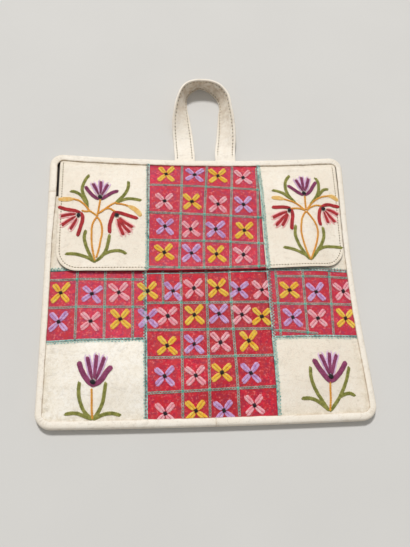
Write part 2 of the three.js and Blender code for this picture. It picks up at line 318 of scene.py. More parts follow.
def makeThreadTwist():
    inputs = {"UV": None, "Place": None}
    tree, given, result = newGroup("threadTwist", inputs, ["Height", "Shade", "Drift"])
    place = given["Place"]
    parts = addNode(tree, "SeparateXYZ", None, {0: given["UV"]})
    slant = timesPlus(tree, parts[1], 2.0, times(tree, parts[0], 12.0))
    ply = timesPlus(tree, mathNode(tree, "SINE", times(tree, slant, math.tau)), 0.5, 0.5)
    height = timesPlus(tree, noiseNode(tree, place, 5200.0, 2.0, 0.6), 0.5, ply)
    stitchTone = spread(tree, noiseNode(tree, place, 620.0, 2.0, 0.6), 0.3, 0.7)
    shade = timesPlus(tree, ply, 0.4, times(tree, stitchTone, 0.6))
    slow = spread(tree, noiseNode(tree, place, 190.0, 3.0, 0.6), 0.4, 0.6, 0.0, 0.4)
    quick = spread(tree, noiseNode(tree, place, 480.0, 2.0, 0.6), 0.42, 0.58, 0.0, 0.6)
    plug(tree, result, {"Height": height, "Shade": shade, "Drift": mathNode(tree, "ADD", slow, quick)})
    return tree


def makeClothWeave():
    inputs = {"Place": None, "Threads per metre": 1500.0}
    tree, given, result = newGroup("clothWeave", inputs, ["Height", "Slub"])
    parts = addNode(tree, "SeparateXYZ", None, {0: given["Place"]})
    turns = times(tree, given["Threads per metre"], math.pi)
    warp, weft = [mathNode(tree, "SINE", times(tree, parts[axis], turns)) for axis in (0, 1)]
    streaks = stretchedPlace(tree, given["Place"], (1.0, 0.06, 1.0))
    height = timesPlus(tree, times(tree, warp, weft), 0.5, 0.5)
    plug(tree, result, {"Height": height, "Slub": noiseNode(tree, streaks, 900.0, 3.0)})
    return tree


print("shader groups")
leatherGrain = makeLeatherGrain()
hideTone = makeHideTone()
wornAndShadedEdge = makeWornAndShadedEdge()
threadTwist = makeThreadTwist()
clothWeave = makeClothWeave()


def startMaterial(name):
    material = bpy.data.materials.new(name)
    material.use_nodes = True
    tree = material.node_tree
    return material, tree, tree.nodes["Principled BSDF"].inputs, attribute(tree, "restPlace", "Vector")


def attribute(tree, name, output="Fac"):
    return addNode(tree, "Attribute", {"attribute_name": name})[output]


def groupNode(tree, group, sources):
    return addNode(tree, "Group", {"node_tree": group}, sources)


def finishShader(tree, shader, colour, rough, height, depth, strength=1.0):
    sources = {"Strength": strength, "Distance": depth * mm, "Height": height}
    normal = addNode(tree, "Bump", None, sources)[0]
    plug(tree, shader, {"Base Color": colour, "Roughness": rough, "Normal": normal})


# Colours are laid over each other in this order: base, second, broad, fleck, speck, then the worn-and-shaded
# colour (wear at edges and corners, painted shade on the handle's arch, in the binding's crease and at the
# flap's root); then painted shade in the grain's pits and creases, and painted shade on the flap's cut edge
leathers = {
    "creamLeather": {
        "base": (240, 230, 213), "second": (246, 239, 226), "secondShare": 0.6,
        "broad": (234, 222, 203), "fleck": (232, 214, 194), "fleckShare": 0.3,
        "speck": (214, 200, 176), "speckShare": 0.3, "wornAndShaded": (196, 180, 148), "wornAndShadedShare": 0.45,
        "rough": (0.54, 0.7), "pebbles": 1050.0, "creasing": 0.5, "grainDepth": 0.07,
    },
    "creasedLeather": {
        "base": (248, 240, 225), "second": (253, 248, 238), "secondShare": 0.75,
        "broad": (240, 229, 211), "fleck": (224, 212, 190), "fleckShare": 0.4,
        "speck": (251, 248, 240), "speckShare": 0.5, "wornAndShaded": (196, 180, 148), "wornAndShadedShare": 0.45,
        "rough": (0.3, 0.48), "pebbles": 1050.0, "creasing": 0.48, "grainDepth": 0.13,
    },
    "bindingLeather": {
        "base": (243, 234, 219), "second": (248, 242, 231), "secondShare": 0.6,
        "broad": (238, 228, 211), "fleck": (234, 220, 202), "fleckShare": 0.25,
        # this worn-and-shaded colour is also the painted shade on the handle's upright arch
        "speck": (220, 207, 184), "speckShare": 0.25, "wornAndShaded": (176, 142, 96), "wornAndShadedShare": 0.7,
        "rough": (0.5, 0.66), "pebbles": 1150.0, "creasing": 0.6, "grainDepth": 0.06,
    },
    "bandLeather": {
        "base": (200, 4, 26), "second": (216, 24, 56), "secondShare": 0.9,
        "broad": (158, 2, 12), "fleck": (150, 12, 56), "fleckShare": 0.75,
        "speck": (250, 140, 134), "speckShare": 0.58, "wornAndShaded": (150, 14, 40), "wornAndShadedShare": 0.5,
        "rough": (0.6, 0.8), "pebbles": 900.0, "creasing": 0.4, "grainDepth": 0.09,
    },
    "rosyLeather": {
        "base": (202, 20, 46), "second": (220, 56, 84), "secondShare": 0.9,
        "broad": (180, 8, 26), "fleck": (162, 38, 82), "fleckShare": 0.8,
        "speck": (250, 150, 142), "speckShare": 0.62, "wornAndShaded": (160, 22, 50), "wornAndShadedShare": 0.5,
        "rough": (0.6, 0.8), "pebbles": 900.0, "creasing": 0.4, "grainDepth": 0.09,
    },
}
leatherShades = {
    "broadShare": 0.6,
    "pitShare": 0.12,
    "creaseShare": 0.28,
    "shadow": (0.25, 0.2, 0.15, 1.0),
    "edgeShadeColour": (34, 26, 22),
}


def makeLeather(name):
    look, shades = leathers[name], leatherShades
    material, tree, shader, place = startMaterial(name)
    sources = {"Pebbles per metre": look["pebbles"], "Creasing": look["creasing"], "Place": place}
    grain = groupNode(tree, leatherGrain, sources)
    tone = groupNode(tree, hideTone, {"Place": place})
    wornAndShaded = groupNode(tree, wornAndShadedEdge, {"Place": place, "Near": attribute(tree, "wornAndShadedNear")})["WornAndShaded"]
    colour = paint(*look["base"])
    for layer, source, share in (
        ("second", tone["Patchy"], look["secondShare"]),
        ("broad", tone["Broad"], shades["broadShare"]),
        ("fleck", tone["Flecks"], look["fleckShare"]),
        ("speck", tone["Specks"], look["speckShare"]),
        ("wornAndShaded", wornAndShaded, look["wornAndShadedShare"]),
    ):
        colour = mixColours(tree, times(tree, source, share), colour, paint(*look[layer]))
    dark = times(tree, grain["Pits"], shades["pitShare"])
    dark = timesPlus(tree, grain["Creases"], shades["creaseShare"], dark)
    colour = mixColours(tree, dark, colour, shades["shadow"], "MULTIPLY")
    # painted shade on the flap's cut edge, near black
    colour = mixColours(tree, attribute(tree, "paintedEdgeShade"), colour, paint(*shades["edgeShadeColour"]))
    rough = spread(tree, tone["Patchy"], 0.0, 1.0, *look["rough"])
    finishShader(tree, shader, colour, rough, grain["Height"], look["grainDepth"])
    return material


# Each thread's deep and light colour
threads = {
    "yellowThread": ((255, 197, 28), (255, 226, 104)),
    "pinkThread": ((255, 158, 172), (255, 212, 216)),
    "lilacThread": ((200, 146, 208), (238, 202, 240)),
    "knotThread": ((10, 5, 10), (22, 12, 22)),
    "plumThread": ((128, 34, 84), (164, 72, 118)),
    "paleLilacThread": ((226, 184, 226), (244, 218, 244)),
    "crimsonThread": ((172, 20, 32), (206, 48, 52)),
    "paleRoseThread": ((255, 178, 178), (255, 208, 206)),
    "orangeThread": ((232, 152, 28), (246, 184, 76)),
    "budThread": ((250, 198, 104), (255, 224, 152)),
    "oliveThread": ((122, 124, 38), (168, 166, 84)),
    "gridThread": ((36, 150, 132), (196, 212, 198)),
    "crossingThread": ((44, 180, 150), (104, 208, 184)),
    # the teal thread varies along its length; its near-white light colour is painted highlight, laid in at
    # random
    "tealThread": ((0, 146, 140), (214, 246, 236)),
    "sewingThread": ((226, 214, 190), (214, 200, 174)),
    # painted shade: the needle holes' dark brown stands for the shade in the pits
    "needleHole": ((104, 88, 70), (130, 114, 92)),
}


def makeThread(name):
    deep, light = threads[name]
    material, tree, shader, place = startMaterial(name)
    turned = addNode(tree, "UVMap")[0]
    twist = groupNode(tree, threadTwist, {"UV": turned, "Place": place})
    colour = mixColours(tree, twist["Drift"], paint(*deep), paint(*light))
    shade = spread(tree, twist["Shade"], 0.0, 1.0, 0.0, 0.09)
    colour = mixColours(tree, shade, colour, (0.3, 0.27, 0.25, 1.0), "MULTIPLY")
    isDark = max(deep) < 60
    shader["Sheen Weight"].default_value = 0.02 if isDark else 0.12
    rough = spread(tree, twist["Drift"], 0.0, 1.0, 0.5, 0.68)
    finishShader(tree, shader, colour, rough, twist["Height"], 0.05, 0.8)
    return material


def makeLiningCloth():
    material, tree, shader, place = startMaterial("liningCloth")
    weave = groupNode(tree, clothWeave, {"Threads per metre": 1400.0, "Place": place})
    tone = groupNode(tree, hideTone, {"Place": place})
    # painted shade: the lining is coloured near black, so that where it shows in the slits and gaps round the
    # flap it reads as shade
    colour = mixColours(tree, weave["Slub"], paint(44, 37, 34), paint(62, 53, 48))
    colour = mixColours(tree, times(tree, tone["Patchy"], 0.4), colour, paint(36, 30, 28))
    # painted shade in the gaps between the weave's threads
    gaps = spread(tree, weave["Height"], 0.0, 0.45, 0.35, 0.0)
    colour = mixColours(tree, gaps, colour, (0.3, 0.25, 0.18, 1.0), "MULTIPLY")
    shader["Sheen Weight"].default_value = 0.2
    rough = spread(tree, weave["Slub"], 0.3, 0.7, 0.75, 0.92)
    finishShader(tree, shader, colour, rough, weave["Height"], 0.12)
    return material


def makeFloor():
    material, tree, shader, _ = startMaterial("paleFloor")
    cloudy = noiseNode(tree, addNode(tree, "TexCoord")["Object"], 9.0, 4.0)
    colour = mixColours(tree, cloudy, paint(205, 203, 199), paint(212, 210, 206))
    plug(tree, shader, {"Base Color": colour, "Roughness": 0.9, "Specular IOR Level": 0.2})
    spot = (0, 0, lightSetup["floorLevel"])
    bpy.ops.mesh.primitive_plane_add(size=lightSetup["floorSize"], location=spot)
    floor = bpy.context.object
    floor.name = "studioFloor"
    floor.data.materials.append(material)


print("materials")
materials = {name: makeLeather(name) for name in leathers}
materials.update({name: makeThread(name) for name in threads})
materials["liningCloth"] = makeLiningCloth()
makeFloor()


bag = {
    "halfWidth": 140, "halfHeight": 127,
    "innerX": 133.2, "innerY": 120.2,  # inner edge of the binding
    "sheetX": 138.2, "sheetY": 125.2, "sheetCorner": 11.2,  # the leathers end inside the binding
    "leftBow": 0.6, "rightBow": 4.5,  # how far the edges pull in at their middles
    "rightTopIn": 1, "topBow": 5.4, "bottomBow": 1.2,
    "riseLength": 32, "crown": 4, "backSag": 1.5,
    "edgeLevel": 6.4,  # top face of the front leather at the binding
    "leather": 1.3, "seamGap": 0.3, "mouth": 82, "hem": 7,
    "crossLeft": -52.2, "crossRight": 56, "crossTop": 8, "crossBottom": -55,
    "slack": ((11, 58, 0.3), (12, 21, 0.08)),
}
flap = {
    "fold": 111, "foldTop": 8.7,
    "settle": 29,  # the flap lies on the front from here below its fold
    "thick": 2.2, "leather": 1.3, "gap": 0.3,
    "left": -130.4, "right": 133, "corner": 21,
    "edge": 6.0, "edgeTilt": 1.5, "edgeBow": 1.4,  # free edge; it runs a little up to the right
    "seamLeft": -49.5, "seamRight": 55.0, "slantLeft": -0.5, "slantRight": 1.1,
    "curl": 0.7, "curlReach": 6,  # the free edge stands this much off the front
    "sideCurl": 0.5, "sideCurlAt": 131, "sideCurlReach": 7,
    "stitchLine": 3.0,
    "under": 122.5,  # its sewn edge, inside the binding
    "blendStart": 111.6, "blendEnd": 106.2,
    "slack": ((31, 60, 0.34), (32, 19, 0.07)),
}


# What is sewn to the flap has its placing baked into its points; all else is attached to the pouch
def finishPiece(piece, look, nodes=(), bends=False):
    piece.data.materials.clear()
    piece.data.materials.append(materials[look])
    if nodes:
        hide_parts(*nodes)
    if bends:
        foldTop = flap["foldTop"] * mm
        start, end = [(0, flap[key] * mm, foldTop) for key in ("blendStart", "blendEnd")]
        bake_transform(piece)
        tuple(start)
        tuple(end)
    else:
        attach(piece, "pouch")


def rise(t):
    t = np.clip(t, 0, 1)
    return t * t * (3 - 2 * t)


def swell(distance, width):
    return np.exp(-((distance / width) ** 2))


# Slack in soft leather: each layer of waves has a seed, a wavelength and a height
def softWaves(x, y, *layers):
    slack, count = 0, 9
    for seed, wavelength, amount in layers:
        draw = random.Random(seed)
        total = 0
        for _ in range(count):
            angle = draw.uniform(0, math.tau)
            turns = math.tau / (wavelength * draw.uniform(0.7, 1.7))
            phase = draw.uniform(0, math.tau)
            total = total + np.sin((x * math.cos(angle) + y * math.sin(angle)) * turns + phase)
        slack = slack + amount * total / math.sqrt(count)
    return slack


# From 0 at the binding's sides and bottom to 1 where the pouch is fullest
def fullAt(x, y):
    side = rise((bag["innerX"] - np.abs(x)) / bag["riseLength"])
    return side * rise((y + bag["innerY"]) / bag["riseLength"])


def frontTop(x, y):
    full = fullAt(x, y)
    return bag["edgeLevel"] + bag["crown"] * full + softWaves(x, y, *bag["slack"]) * full


def flapTop(x, y):
    onFrontLevel = bag["edgeLevel"] + bag["crown"] * fullAt(x, y) + flap["gap"] + flap["thick"]
    settled = rise((flap["fold"] - y) / flap["settle"])
    level = flap["foldTop"] + (onFrontLevel - flap["foldTop"]) * settled
    root = rise((y - flap["fold"]) / (bag["innerY"] - flap["fold"]))
    level = level - root * (flap["foldTop"] - bag["edgeLevel"])
    curl = flap["curl"] * swell(y - flap["edge"], flap["curlReach"])
    sideCurl = flap["sideCurl"] * swell(np.abs(x) - flap["sideCurlAt"], flap["sideCurlReach"])
    return level + softWaves(x, y, *flap["slack"]) * settled + curl + sideCurl * settled


def nearEdge(y):
    return np.clip((y - flap["fold"]) / (bag["innerY"] - flap["fold"]), 0, 1)


# Soft edges are never straight: how far each point is drawn inwards
def pullAt(x, y):
    up = np.clip(y / bag["halfHeight"], -1, 1)
    across = x / bag["halfWidth"]
    rounded = 1 - up * up
    right = bag["rightBow"] * rounded * rounded + bag["rightTopIn"] * rise(up)
    pull = across * np.where(across < 0, bag["leftBow"] * rounded, right)
    top = bag["topBow"] * (1 - across * across) * nearEdge(y)
    return pull, bag["bottomBow"] * across * across * nearEdge(-y) - top


def pulledIn(x, y):
    pull, lift = pullAt(x, y)
    return x - pull, y + lift


# Levels at a point of the finished bag, found where it lay before the edges pulled in
def onFront(x, y):
    return frontTop(x + pullAt(x, y)[0], y)


def onFlap(x, y):
    return flapTop(x + pullAt(x, y)[0], y)


sheetGrid = {
    "step": 1.6,
    "coarseStep": 4.0,
    "seamSteps": [0, 0.1, 0.3, 0.6, 1.0, 1.6, 2.3],  # close together where an edge rounds over
    "stitchSteps": [0, 0.12, 0.35, 0.7, 1.1, 1.6, 2.1, 2.6, 3.0, 3.4, 3.9, 4.6],
}


def gridMarks(low, high, step, startSteps=(0,), endSteps=(0,)):
    first, last = low + startSteps[-1], high - endSteps[-1]
    middle = np.linspace(first, last, max(1, round((last - first) / step)) + 1)
    return np.concatenate([low + np.array(startSteps[:-1]), middle, high - np.array(endSteps[:-1])[::-1]])


# Marks from one side to the other, close together at each side that is a seam
def seamMarks(low, high, sides, seams, step=sheetGrid["step"], otherSteps=(0,)):
    steps = [sheetGrid["seamSteps"] if side in seams else otherSteps for side in sides]
    return gridMarks(low, high, step, *steps)


def edgeFall(distance, radius):
    inside = np.clip(radius - distance, 0, radius)
    return radius - np.sqrt(radius * radius - inside * inside)


# A square corner of the grid is drawn round: (u, v) run from 0 inside to 1 at the two edges
def roundedCorner(u, v):
    isCorner = (u > 0) & (v > 0)
    u, v = np.clip(u, 0, 1), np.clip(v, 0, 1)
    return isCorner, u * np.sqrt(1 - v * v / 2), v * np.sqrt(1 - u * u / 2)


def stack(x, y, z):
    return np.stack([x, y, z], axis=1)


# A flat grid, with the column and the row of each of its points
def makeGrid(name, columns, rows):
    bpy.ops.mesh.primitive_grid_add(x_subdivisions=columns, y_subdivisions=rows, size=2 * mm)
    piece = bpy.context.object
    piece.name = piece.data.name = name
    spots = (readPoints(piece)[:, :2] + 1) / 2 * (columns, rows)
    return (piece, *np.rint(spots).astype(int).T)


# The grid takes its thickness from Solidify, and is then laid over the bag
def laySheet(name, across, along, lay, look, nodes, bends=False):
    piece, column, row = makeGrid(name, len(across) - 1, len(along) - 1)
    applyModifier(piece, "SOLIDIFY", thickness=0.1 * mm, offset=-1)
    top, under, near = lay(across[column], along[row])
    movePoints(piece, np.concatenate([top, under]))
    rememberPlace(piece, np.concatenate([near, near]))
    smoothShade(piece)
    finishPiece(piece, look, nodes, bends)
    return piece


def bodyCorners(x, y):
    r = bag["sheetCorner"]
    cx, cy = bag["sheetX"] - r, bag["sheetY"] - r
    corner, u, v = roundedCorner((np.abs(x) - cx) / r, (np.abs(y) - cy) / r)
    newX = np.where(corner, np.sign(x) * (cx + r * u), x)
    return newX, np.where(corner, np.sign(y) * (cy + r * v), y)


# Where two leathers meet: how round their edges are, and the dip beside the seam
seamShape = {"round": 0.6, "underRound": 0.4, "dip": 0.15, "dipReach": 1.8, "darkening": 0.5, "darkenedReach": 1.5}
hem = {  # turned under at the pocket's mouth: a ridge along the fold, and a groove at its stitches
    "thicker": 1.0, "ridge": 0.35, "ridgeAt": 2.4, "ridgeReach": 2.0,
    "groove": 0.3, "grooveAt": 5.2, "grooveReach": 0.6,
}


def seamFall(toSeam):
    return edgeFall(toSeam, seamShape["round"]) + seamShape["dip"] * swell(toSeam, seamShape["dipReach"])


def darkenedAtSeam(toSeam):
    return seamShape["darkening"] * swell(toSeam, seamShape["darkenedReach"])


# How much a leather is darkened towards its worn-and-shaded colour: most beside the binding, less along a
# seam
def darkenedNear(toBinding, toSeam=None):
    near = swell(np.clip(toBinding, 0, 99), 5)
    return near if toSeam is None else np.clip(near + darkenedAtSeam(toSeam), 0, 1)


# seams names the sides that are rounded over: left, right, bottom, top
def frontPatch(name, left, right, bottom, top, seams, look, node, hemmed=False):
    def lay(x, y):
        gaps = {"left": x - left, "right": right - x, "bottom": y - bottom, "top": top - y}
        toSeam = np.min([gaps[side] for side in seams], axis=0)
        x, y = bodyCorners(x, y)
        level = frontTop(x, y) - seamFall(toSeam)
        thick = np.full_like(x, bag["leather"])
        if hemmed:
            fromMouth = y - bag["mouth"]
            thick = thick + hem["thicker"] * (fromMouth > -bag["hem"])
            level = level + hem["ridge"] * swell(fromMouth + hem["ridgeAt"], hem["ridgeReach"])
            level = level - hem["groove"] * swell(fromMouth + hem["grooveAt"], hem["grooveReach"])
        under = frontTop(x, y) - thick + edgeFall(toSeam, seamShape["underRound"])
        px, py = pulledIn(x, y)
        near = darkenedNear(np.minimum(bag["innerX"] - np.abs(x), y + bag["innerY"]), toSeam)
        return stack(px, py, level), stack(px, py, under), near

    across = seamMarks(left, right, ("left", "right"), seams)
    laySheet(name, across, seamMarks(bottom, top, ("bottom", "top"), seams), lay, look, [node])


def sewFront():
    gap, upper, lower = bag["seamGap"], bag["crossTop"], bag["crossBottom"]
    lowest, mouth = -bag["sheetY"], bag["mouth"]
    leftSide = ("Left", -bag["sheetX"], bag["crossLeft"] - gap, "right")
    rightSide = ("Right", bag["crossRight"] + gap, bag["sheetX"], "left")
    for side, left, right, seam in (leftSide, rightSide):
        for name, bottom, top, seams, look, node in (
            ("upperPatch", upper + gap, mouth, [seam, "bottom", "top"], "creamLeather", "front_patch_upper_"),
            ("armBand", lower + gap, upper, [seam, "bottom", "top"], "rosyLeather", "cross_arm_"),
            ("lowerPatch", lowest, lower, [seam, "top"], "creamLeather", "front_patch_lower_"),
        ):
            if name + side == "lowerPatchLeft":
                look = "creasedLeather"
            hemmed = name == "upperPatch"
            frontPatch(name + side, left, right, bottom, top, seams, look, node + side.lower(), hemmed)
    frontPatch(
        "centreBand", bag["crossLeft"], bag["crossRight"], lowest, mouth,
        ["left", "right", "top"], "bandLeather", "cross_centre_band", True,
    )


print("front leathers")
sewFront()


def backSag(x, y):
    return bag["backSag"] * fullAt(x, y) * fullAt(0, -y)


def layBackPanel(x, y):
    x, y = bodyCorners(x, y)
    level = bag["backSag"] - backSag(x, y)
    px, py = pulledIn(x, y)
    near = darkenedNear(np.minimum(bag["innerX"] - np.abs(x), bag["innerY"] - np.abs(y)))
    return stack(px, py, level + bag["leather"]), stack(px, py, level), near


linings = {
    "thick": 0.6, "backTop": 119.9, "backLevel": 3.15, "frontTop": 74.7, "frontLevel": 4.15,
    "flapThick": 0.5, "flapInset": 7.4, "flapTop": 110.6, "flapStep": 3.0,
    "ruffle": (51, 26, 0.05), "flapRuffle": (53, 24, 0.06),
}


def layBodyLining(levelOf):
    def lay(x, y):
        x, y = bodyCorners(x, y)
        level = levelOf(x, y)
        px, py = pulledIn(x, y)
        under = level + softWaves(x, y, linings["ruffle"])
        return stack(px, py, under + linings["thick"]), stack(px, py, under), np.zeros_like(x)

    return lay


def layFlapLining(x, y):
    fx, fy = flapOutline(x, y)
    under = flapTop(fx, fy) - flap["thick"] + softWaves(x, y, linings["flapRuffle"])
    px, py = pulledIn(fx, fy)
    return stack(px, py, under + linings["flapThick"]), stack(px, py, under), np.zeros_like(x)


def sewLining(name, node, left, right, bottom, top, steps, lay, bends=False):
    across, along = gridMarks(left, right, steps[0]), gridMarks(bottom, top, steps[1])
    piece = laySheet(name, across, along, lay, "liningCloth", [node], bends)


print("back and linings")
side, bottom, coarse = bag["sheetX"], -bag["sheetY"], sheetGrid["coarseStep"]
backGrid = gridMarks(-side, side, coarse), gridMarks(bottom, -bottom, coarse)
laySheet("backPanelLeather", *backGrid, layBackPanel, "creamLeather", ["back_panel"])
sewLining(
    "backLiningCloth", "back_lining", -side, side, bottom, linings["backTop"], (coarse, coarse),
    layBodyLining(lambda x, y: linings["backLevel"] - backSag(x, y)),
)
sewLining(
    "frontLiningCloth", "front_lining", -side, side, bottom, linings["frontTop"], (coarse, coarse),
    layBodyLining(lambda x, y: linings["frontLevel"] + bag["crown"] * fullAt(x, y)),
)


def flapEdgeAt(x):
    across = np.clip(x / 100, -1.1, 1.1)
    return flap["edge"] + flap["edgeTilt"] * across + flap["edgeBow"] * across**2


# How far down the flap a point is, from 0 at the fold to 1 at the free edge
def downFlap(y):
    return np.clip((flap["fold"] - y) / (flap["fold"] - flap["edge"]), 0, 1)


# From the flap's flat grid to its outline: bowed free edge, round lower corners
def flapOutline(x, y):
    share, r = downFlap(y), flap["corner"]
    side = np.where(x < 0, -flap["left"], flap["right"])
    corner, u, v = roundedCorner((np.abs(x) - (side - r)) / r, (flap["edge"] + r - y) / r)
    newX = np.where(corner, np.sign(x) * (side - r + r * u), x)
    newY = np.where(corner, flap["edge"] + r - r * v, y)
    # the two seams, which lie between these x, slant a little
    slant = flap["slantRight"] * share * (x > 50) + np.where(x < -45, flap["slantLeft"] * share, 0)
    return newX + slant * (np.abs(x) < 60), newY + (flapEdgeAt(x) - flap["edge"]) * share


# How far a point of the flat grid lies inside the flap's free edges
def insideFlapEdge(x, y):
    side, up, r = np.where(x < 0, x - flap["left"], flap["right"] - x), y - flap["edge"], flap["corner"]
    corner, u, v = roundedCorner(1 - side / r, 1 - up / r)
    return np.where(corner, r * (1 - np.hypot(u, v)), np.minimum(side, up))


# The flap's free edge: rounded over, with a ridge outside the groove of its stitches
flapEdge = {
    "round": 0.5, "underRound": 0.3, "edgeShadeWidth": 0.06, "groove": 0.16, "grooveReach": 0.6,
    "ridge": 0.16, "ridgeAt": 1.5, "ridgeReach": 0.9,
    "darkenedReach": 2.2, "rootShade": 0.8, "rootShadeReach": 3.5,
}


def flapPatch(name, node, left, right, seams, look):
    edges = sheetGrid["stitchSteps"]
    shadedCutEdge = []

    def lay(x, y):
        sewnIn = y > bag["innerY"] - 2
        toFree = np.where(sewnIn, 9, insideFlapEdge(x, y))
        gaps = {"left": x - left, "right": right - x}
        toSeam = np.min([gaps[side] for side in seams], axis=0)
        fx, fy = flapOutline(x, y)
        level = flapTop(fx, fy) - edgeFall(toFree, flapEdge["round"]) - seamFall(toSeam)
        level = level - flapEdge["groove"] * swell(toFree - flap["stitchLine"], flapEdge["grooveReach"])
        level = level + flapEdge["ridge"] * swell(toFree - flapEdge["ridgeAt"], flapEdge["ridgeReach"])
        thick = np.where((toFree < bag["hem"]) & (y < flap["fold"]), flap["thick"], flap["leather"])
        under = flapTop(fx, fy) - thick + edgeFall(toFree, flapEdge["underRound"])
        under = under + edgeFall(toSeam, seamShape["underRound"])
        px, py = pulledIn(fx, fy)
        shadedCutEdge.append(toFree < flapEdge["edgeShadeWidth"])
        near = swell(toFree, flapEdge["darkenedReach"]) + darkenedAtSeam(toSeam)
        # painted shade: the flap is darkened at its root, where it goes under the binding
        near = near + flapEdge["rootShade"] * swell(y - bag["innerY"], flapEdge["rootShadeReach"])
        return stack(px, py, level), stack(px, py, under), np.clip(near, 0, 1)

    across = seamMarks(left, right, ("left", "right"), seams, otherSteps=edges)
    along = gridMarks(flap["edge"], flap["under"], sheetGrid["step"] * 0.9, edges)
    piece = laySheet(name, across, along, lay, look, ["flap_root", node], True)
    # painted shade: the cut edge is coloured near black, and shows as the dark shadow line below the flap
    giveAttribute(piece, "paintedEdgeShade", np.concatenate([shadedCutEdge[0], shadedCutEdge[0]]))


print("flap leathers")
left, seamLeft, seamRight, right = [flap[key] for key in ("left", "seamLeft", "seamRight", "right")]
flapPatch("flapPatchLeft", "flap_patch_left", left, seamLeft - flap["gap"], ["right"], "creamLeather")
flapPatch("flapCentreBand", "flap_centre_band", seamLeft, seamRight, ["left", "right"], "rosyLeather")
flapPatch("flapPatchRight", "flap_patch_right", seamRight + flap["gap"], right, ["left"], "creamLeather")
inset = linings["flapInset"]
sewLining(
    "flapLiningCloth", "flap_lining", left + inset, right - inset, flap["edge"] + inset,
    linings["flapTop"], (linings["flapStep"], sheetGrid["step"]), layFlapLining,
    True,
)

binding = {
    "corner": 13, "cornerStations": 30, "longStations": 110,
    "join": 4.3, "joinStep": 0.55,  # the strip's two ends overlap here, at the bottom edge
    "topAt": 4.2, "topReach": 2.6,  # where on the strip it stands highest
    "puff": 0.12, "unevenPuff": 0.14, "puffWaves": (71, 30, 1.0),
    "wrinkle": 0.07, "wrinkleWaves": (72, 5.5, 1.0),
    "pleat": 0.22, "pleatLength": 3.4, "finePleat": 0.6, "finePleatLength": 2.1, "finePleatPhase": 1.3,
    "ripple": 0.12, "rippleWaves": (73, 14, 1.0), "rippleFrom": 6,
    "overlapAt": 3.6, "overlapReach": 3.4, "overlapLength": 9,
    "creaseAt": 86, "creaseDepth": 0.5,  # a dent across the left side
    "markSteps": (-1.4, -0.7, -0.35, 0, 0.35, 0.7, 1.4),  # extra stations at the join and the crease
    "foldDepth": 1.5,
    "leftWidth": 5.8, "leftWider": 1.6, "widerFrom": 40, "widerOver": 50,
    "rightWidth": 6.2, "endWidth": 6.7,
    "innerDarkAt": 7.9, "darkenedReach": 0.5, "foldWorn": 0.3, "foldWornReach": 0.8,
    "bendWorn": 0.3, "joinWornReach": 0.4,
    # the section: distance in from the outer edge, and height; the first of them show from above
    "showing": 13,
    "drawnWidth": 8.0,
    "section": [
        (8.0, 6.9), (7.9, 7.4), (7.6, 7.7), (6.9, 7.85), (5.4, 7.95), (4.0, 7.98), (2.7, 7.9),
        (1.6, 7.72), (0.85, 7.3), (0.32, 6.6), (0.04, 5.6), (0.0, 4.1), (0.03, 2.5), (0.38, 1.45),
        (1.1, 0.62), (2.1, 0.12), (3.6, 0.0), (5.6, 0.0), (7.6, 0.05), (8.0, 0.5),
        (7.9, 1.15), (4.6, 1.2), (1.55, 1.3), (1.5, 3.9), (1.55, 6.5), (4.6, 6.6), (7.4, 6.55),
    ],
}


def edgeStations():
    r, count = binding["corner"], binding["cornerStations"]
    x, y = bag["halfWidth"] - r, bag["halfHeight"] - r
    centres = [(x, y), (-x, y), (-x, -y), (x, -y)]
    spots, inwards, bend = [], [], []
    for corner, (cx, cy) in enumerate(centres):
        for i in range(count):
            angle = math.pi / 2 * (corner + i / (count - 1))
            out = (math.cos(angle), math.sin(angle))
            spots.append((cx + r * out[0], cy + r * out[1]))
            inwards.append((-out[0], -out[1]))
            bend.append(math.sin(math.pi * i / (count - 1)))
        start, direction = spots[-1], inwards[-1]
        nextCentre = centres[(corner + 1) % 4]
        end = (nextCentre[0] - r * direction[0], nextCentre[1] - r * direction[1])
        marks = list(np.linspace(0, 1, binding["longStations"] + 1)[1:-1])
        for side, axis, mark in ((1, 1, binding["creaseAt"]), (2, 0, binding["join"])):
            if side == corner:
                length = end[axis] - start[axis]
                marks += [(mark + step - start[axis]) / length for step in binding["markSteps"]]
        for t in sorted(marks):
            spots.append((start[0] + (end[0] - start[0]) * t, start[1] + (end[1] - start[1]) * t))
            inwards.append(direction)
            bend.append(0.0)
    return np.array(spots), np.array(inwards), np.array(bend)


# The distance run at each point of a line
def runAlong(line):
    return np.concatenate([[0], np.cumsum(np.linalg.norm(np.diff(line, axis=0), axis=1))])


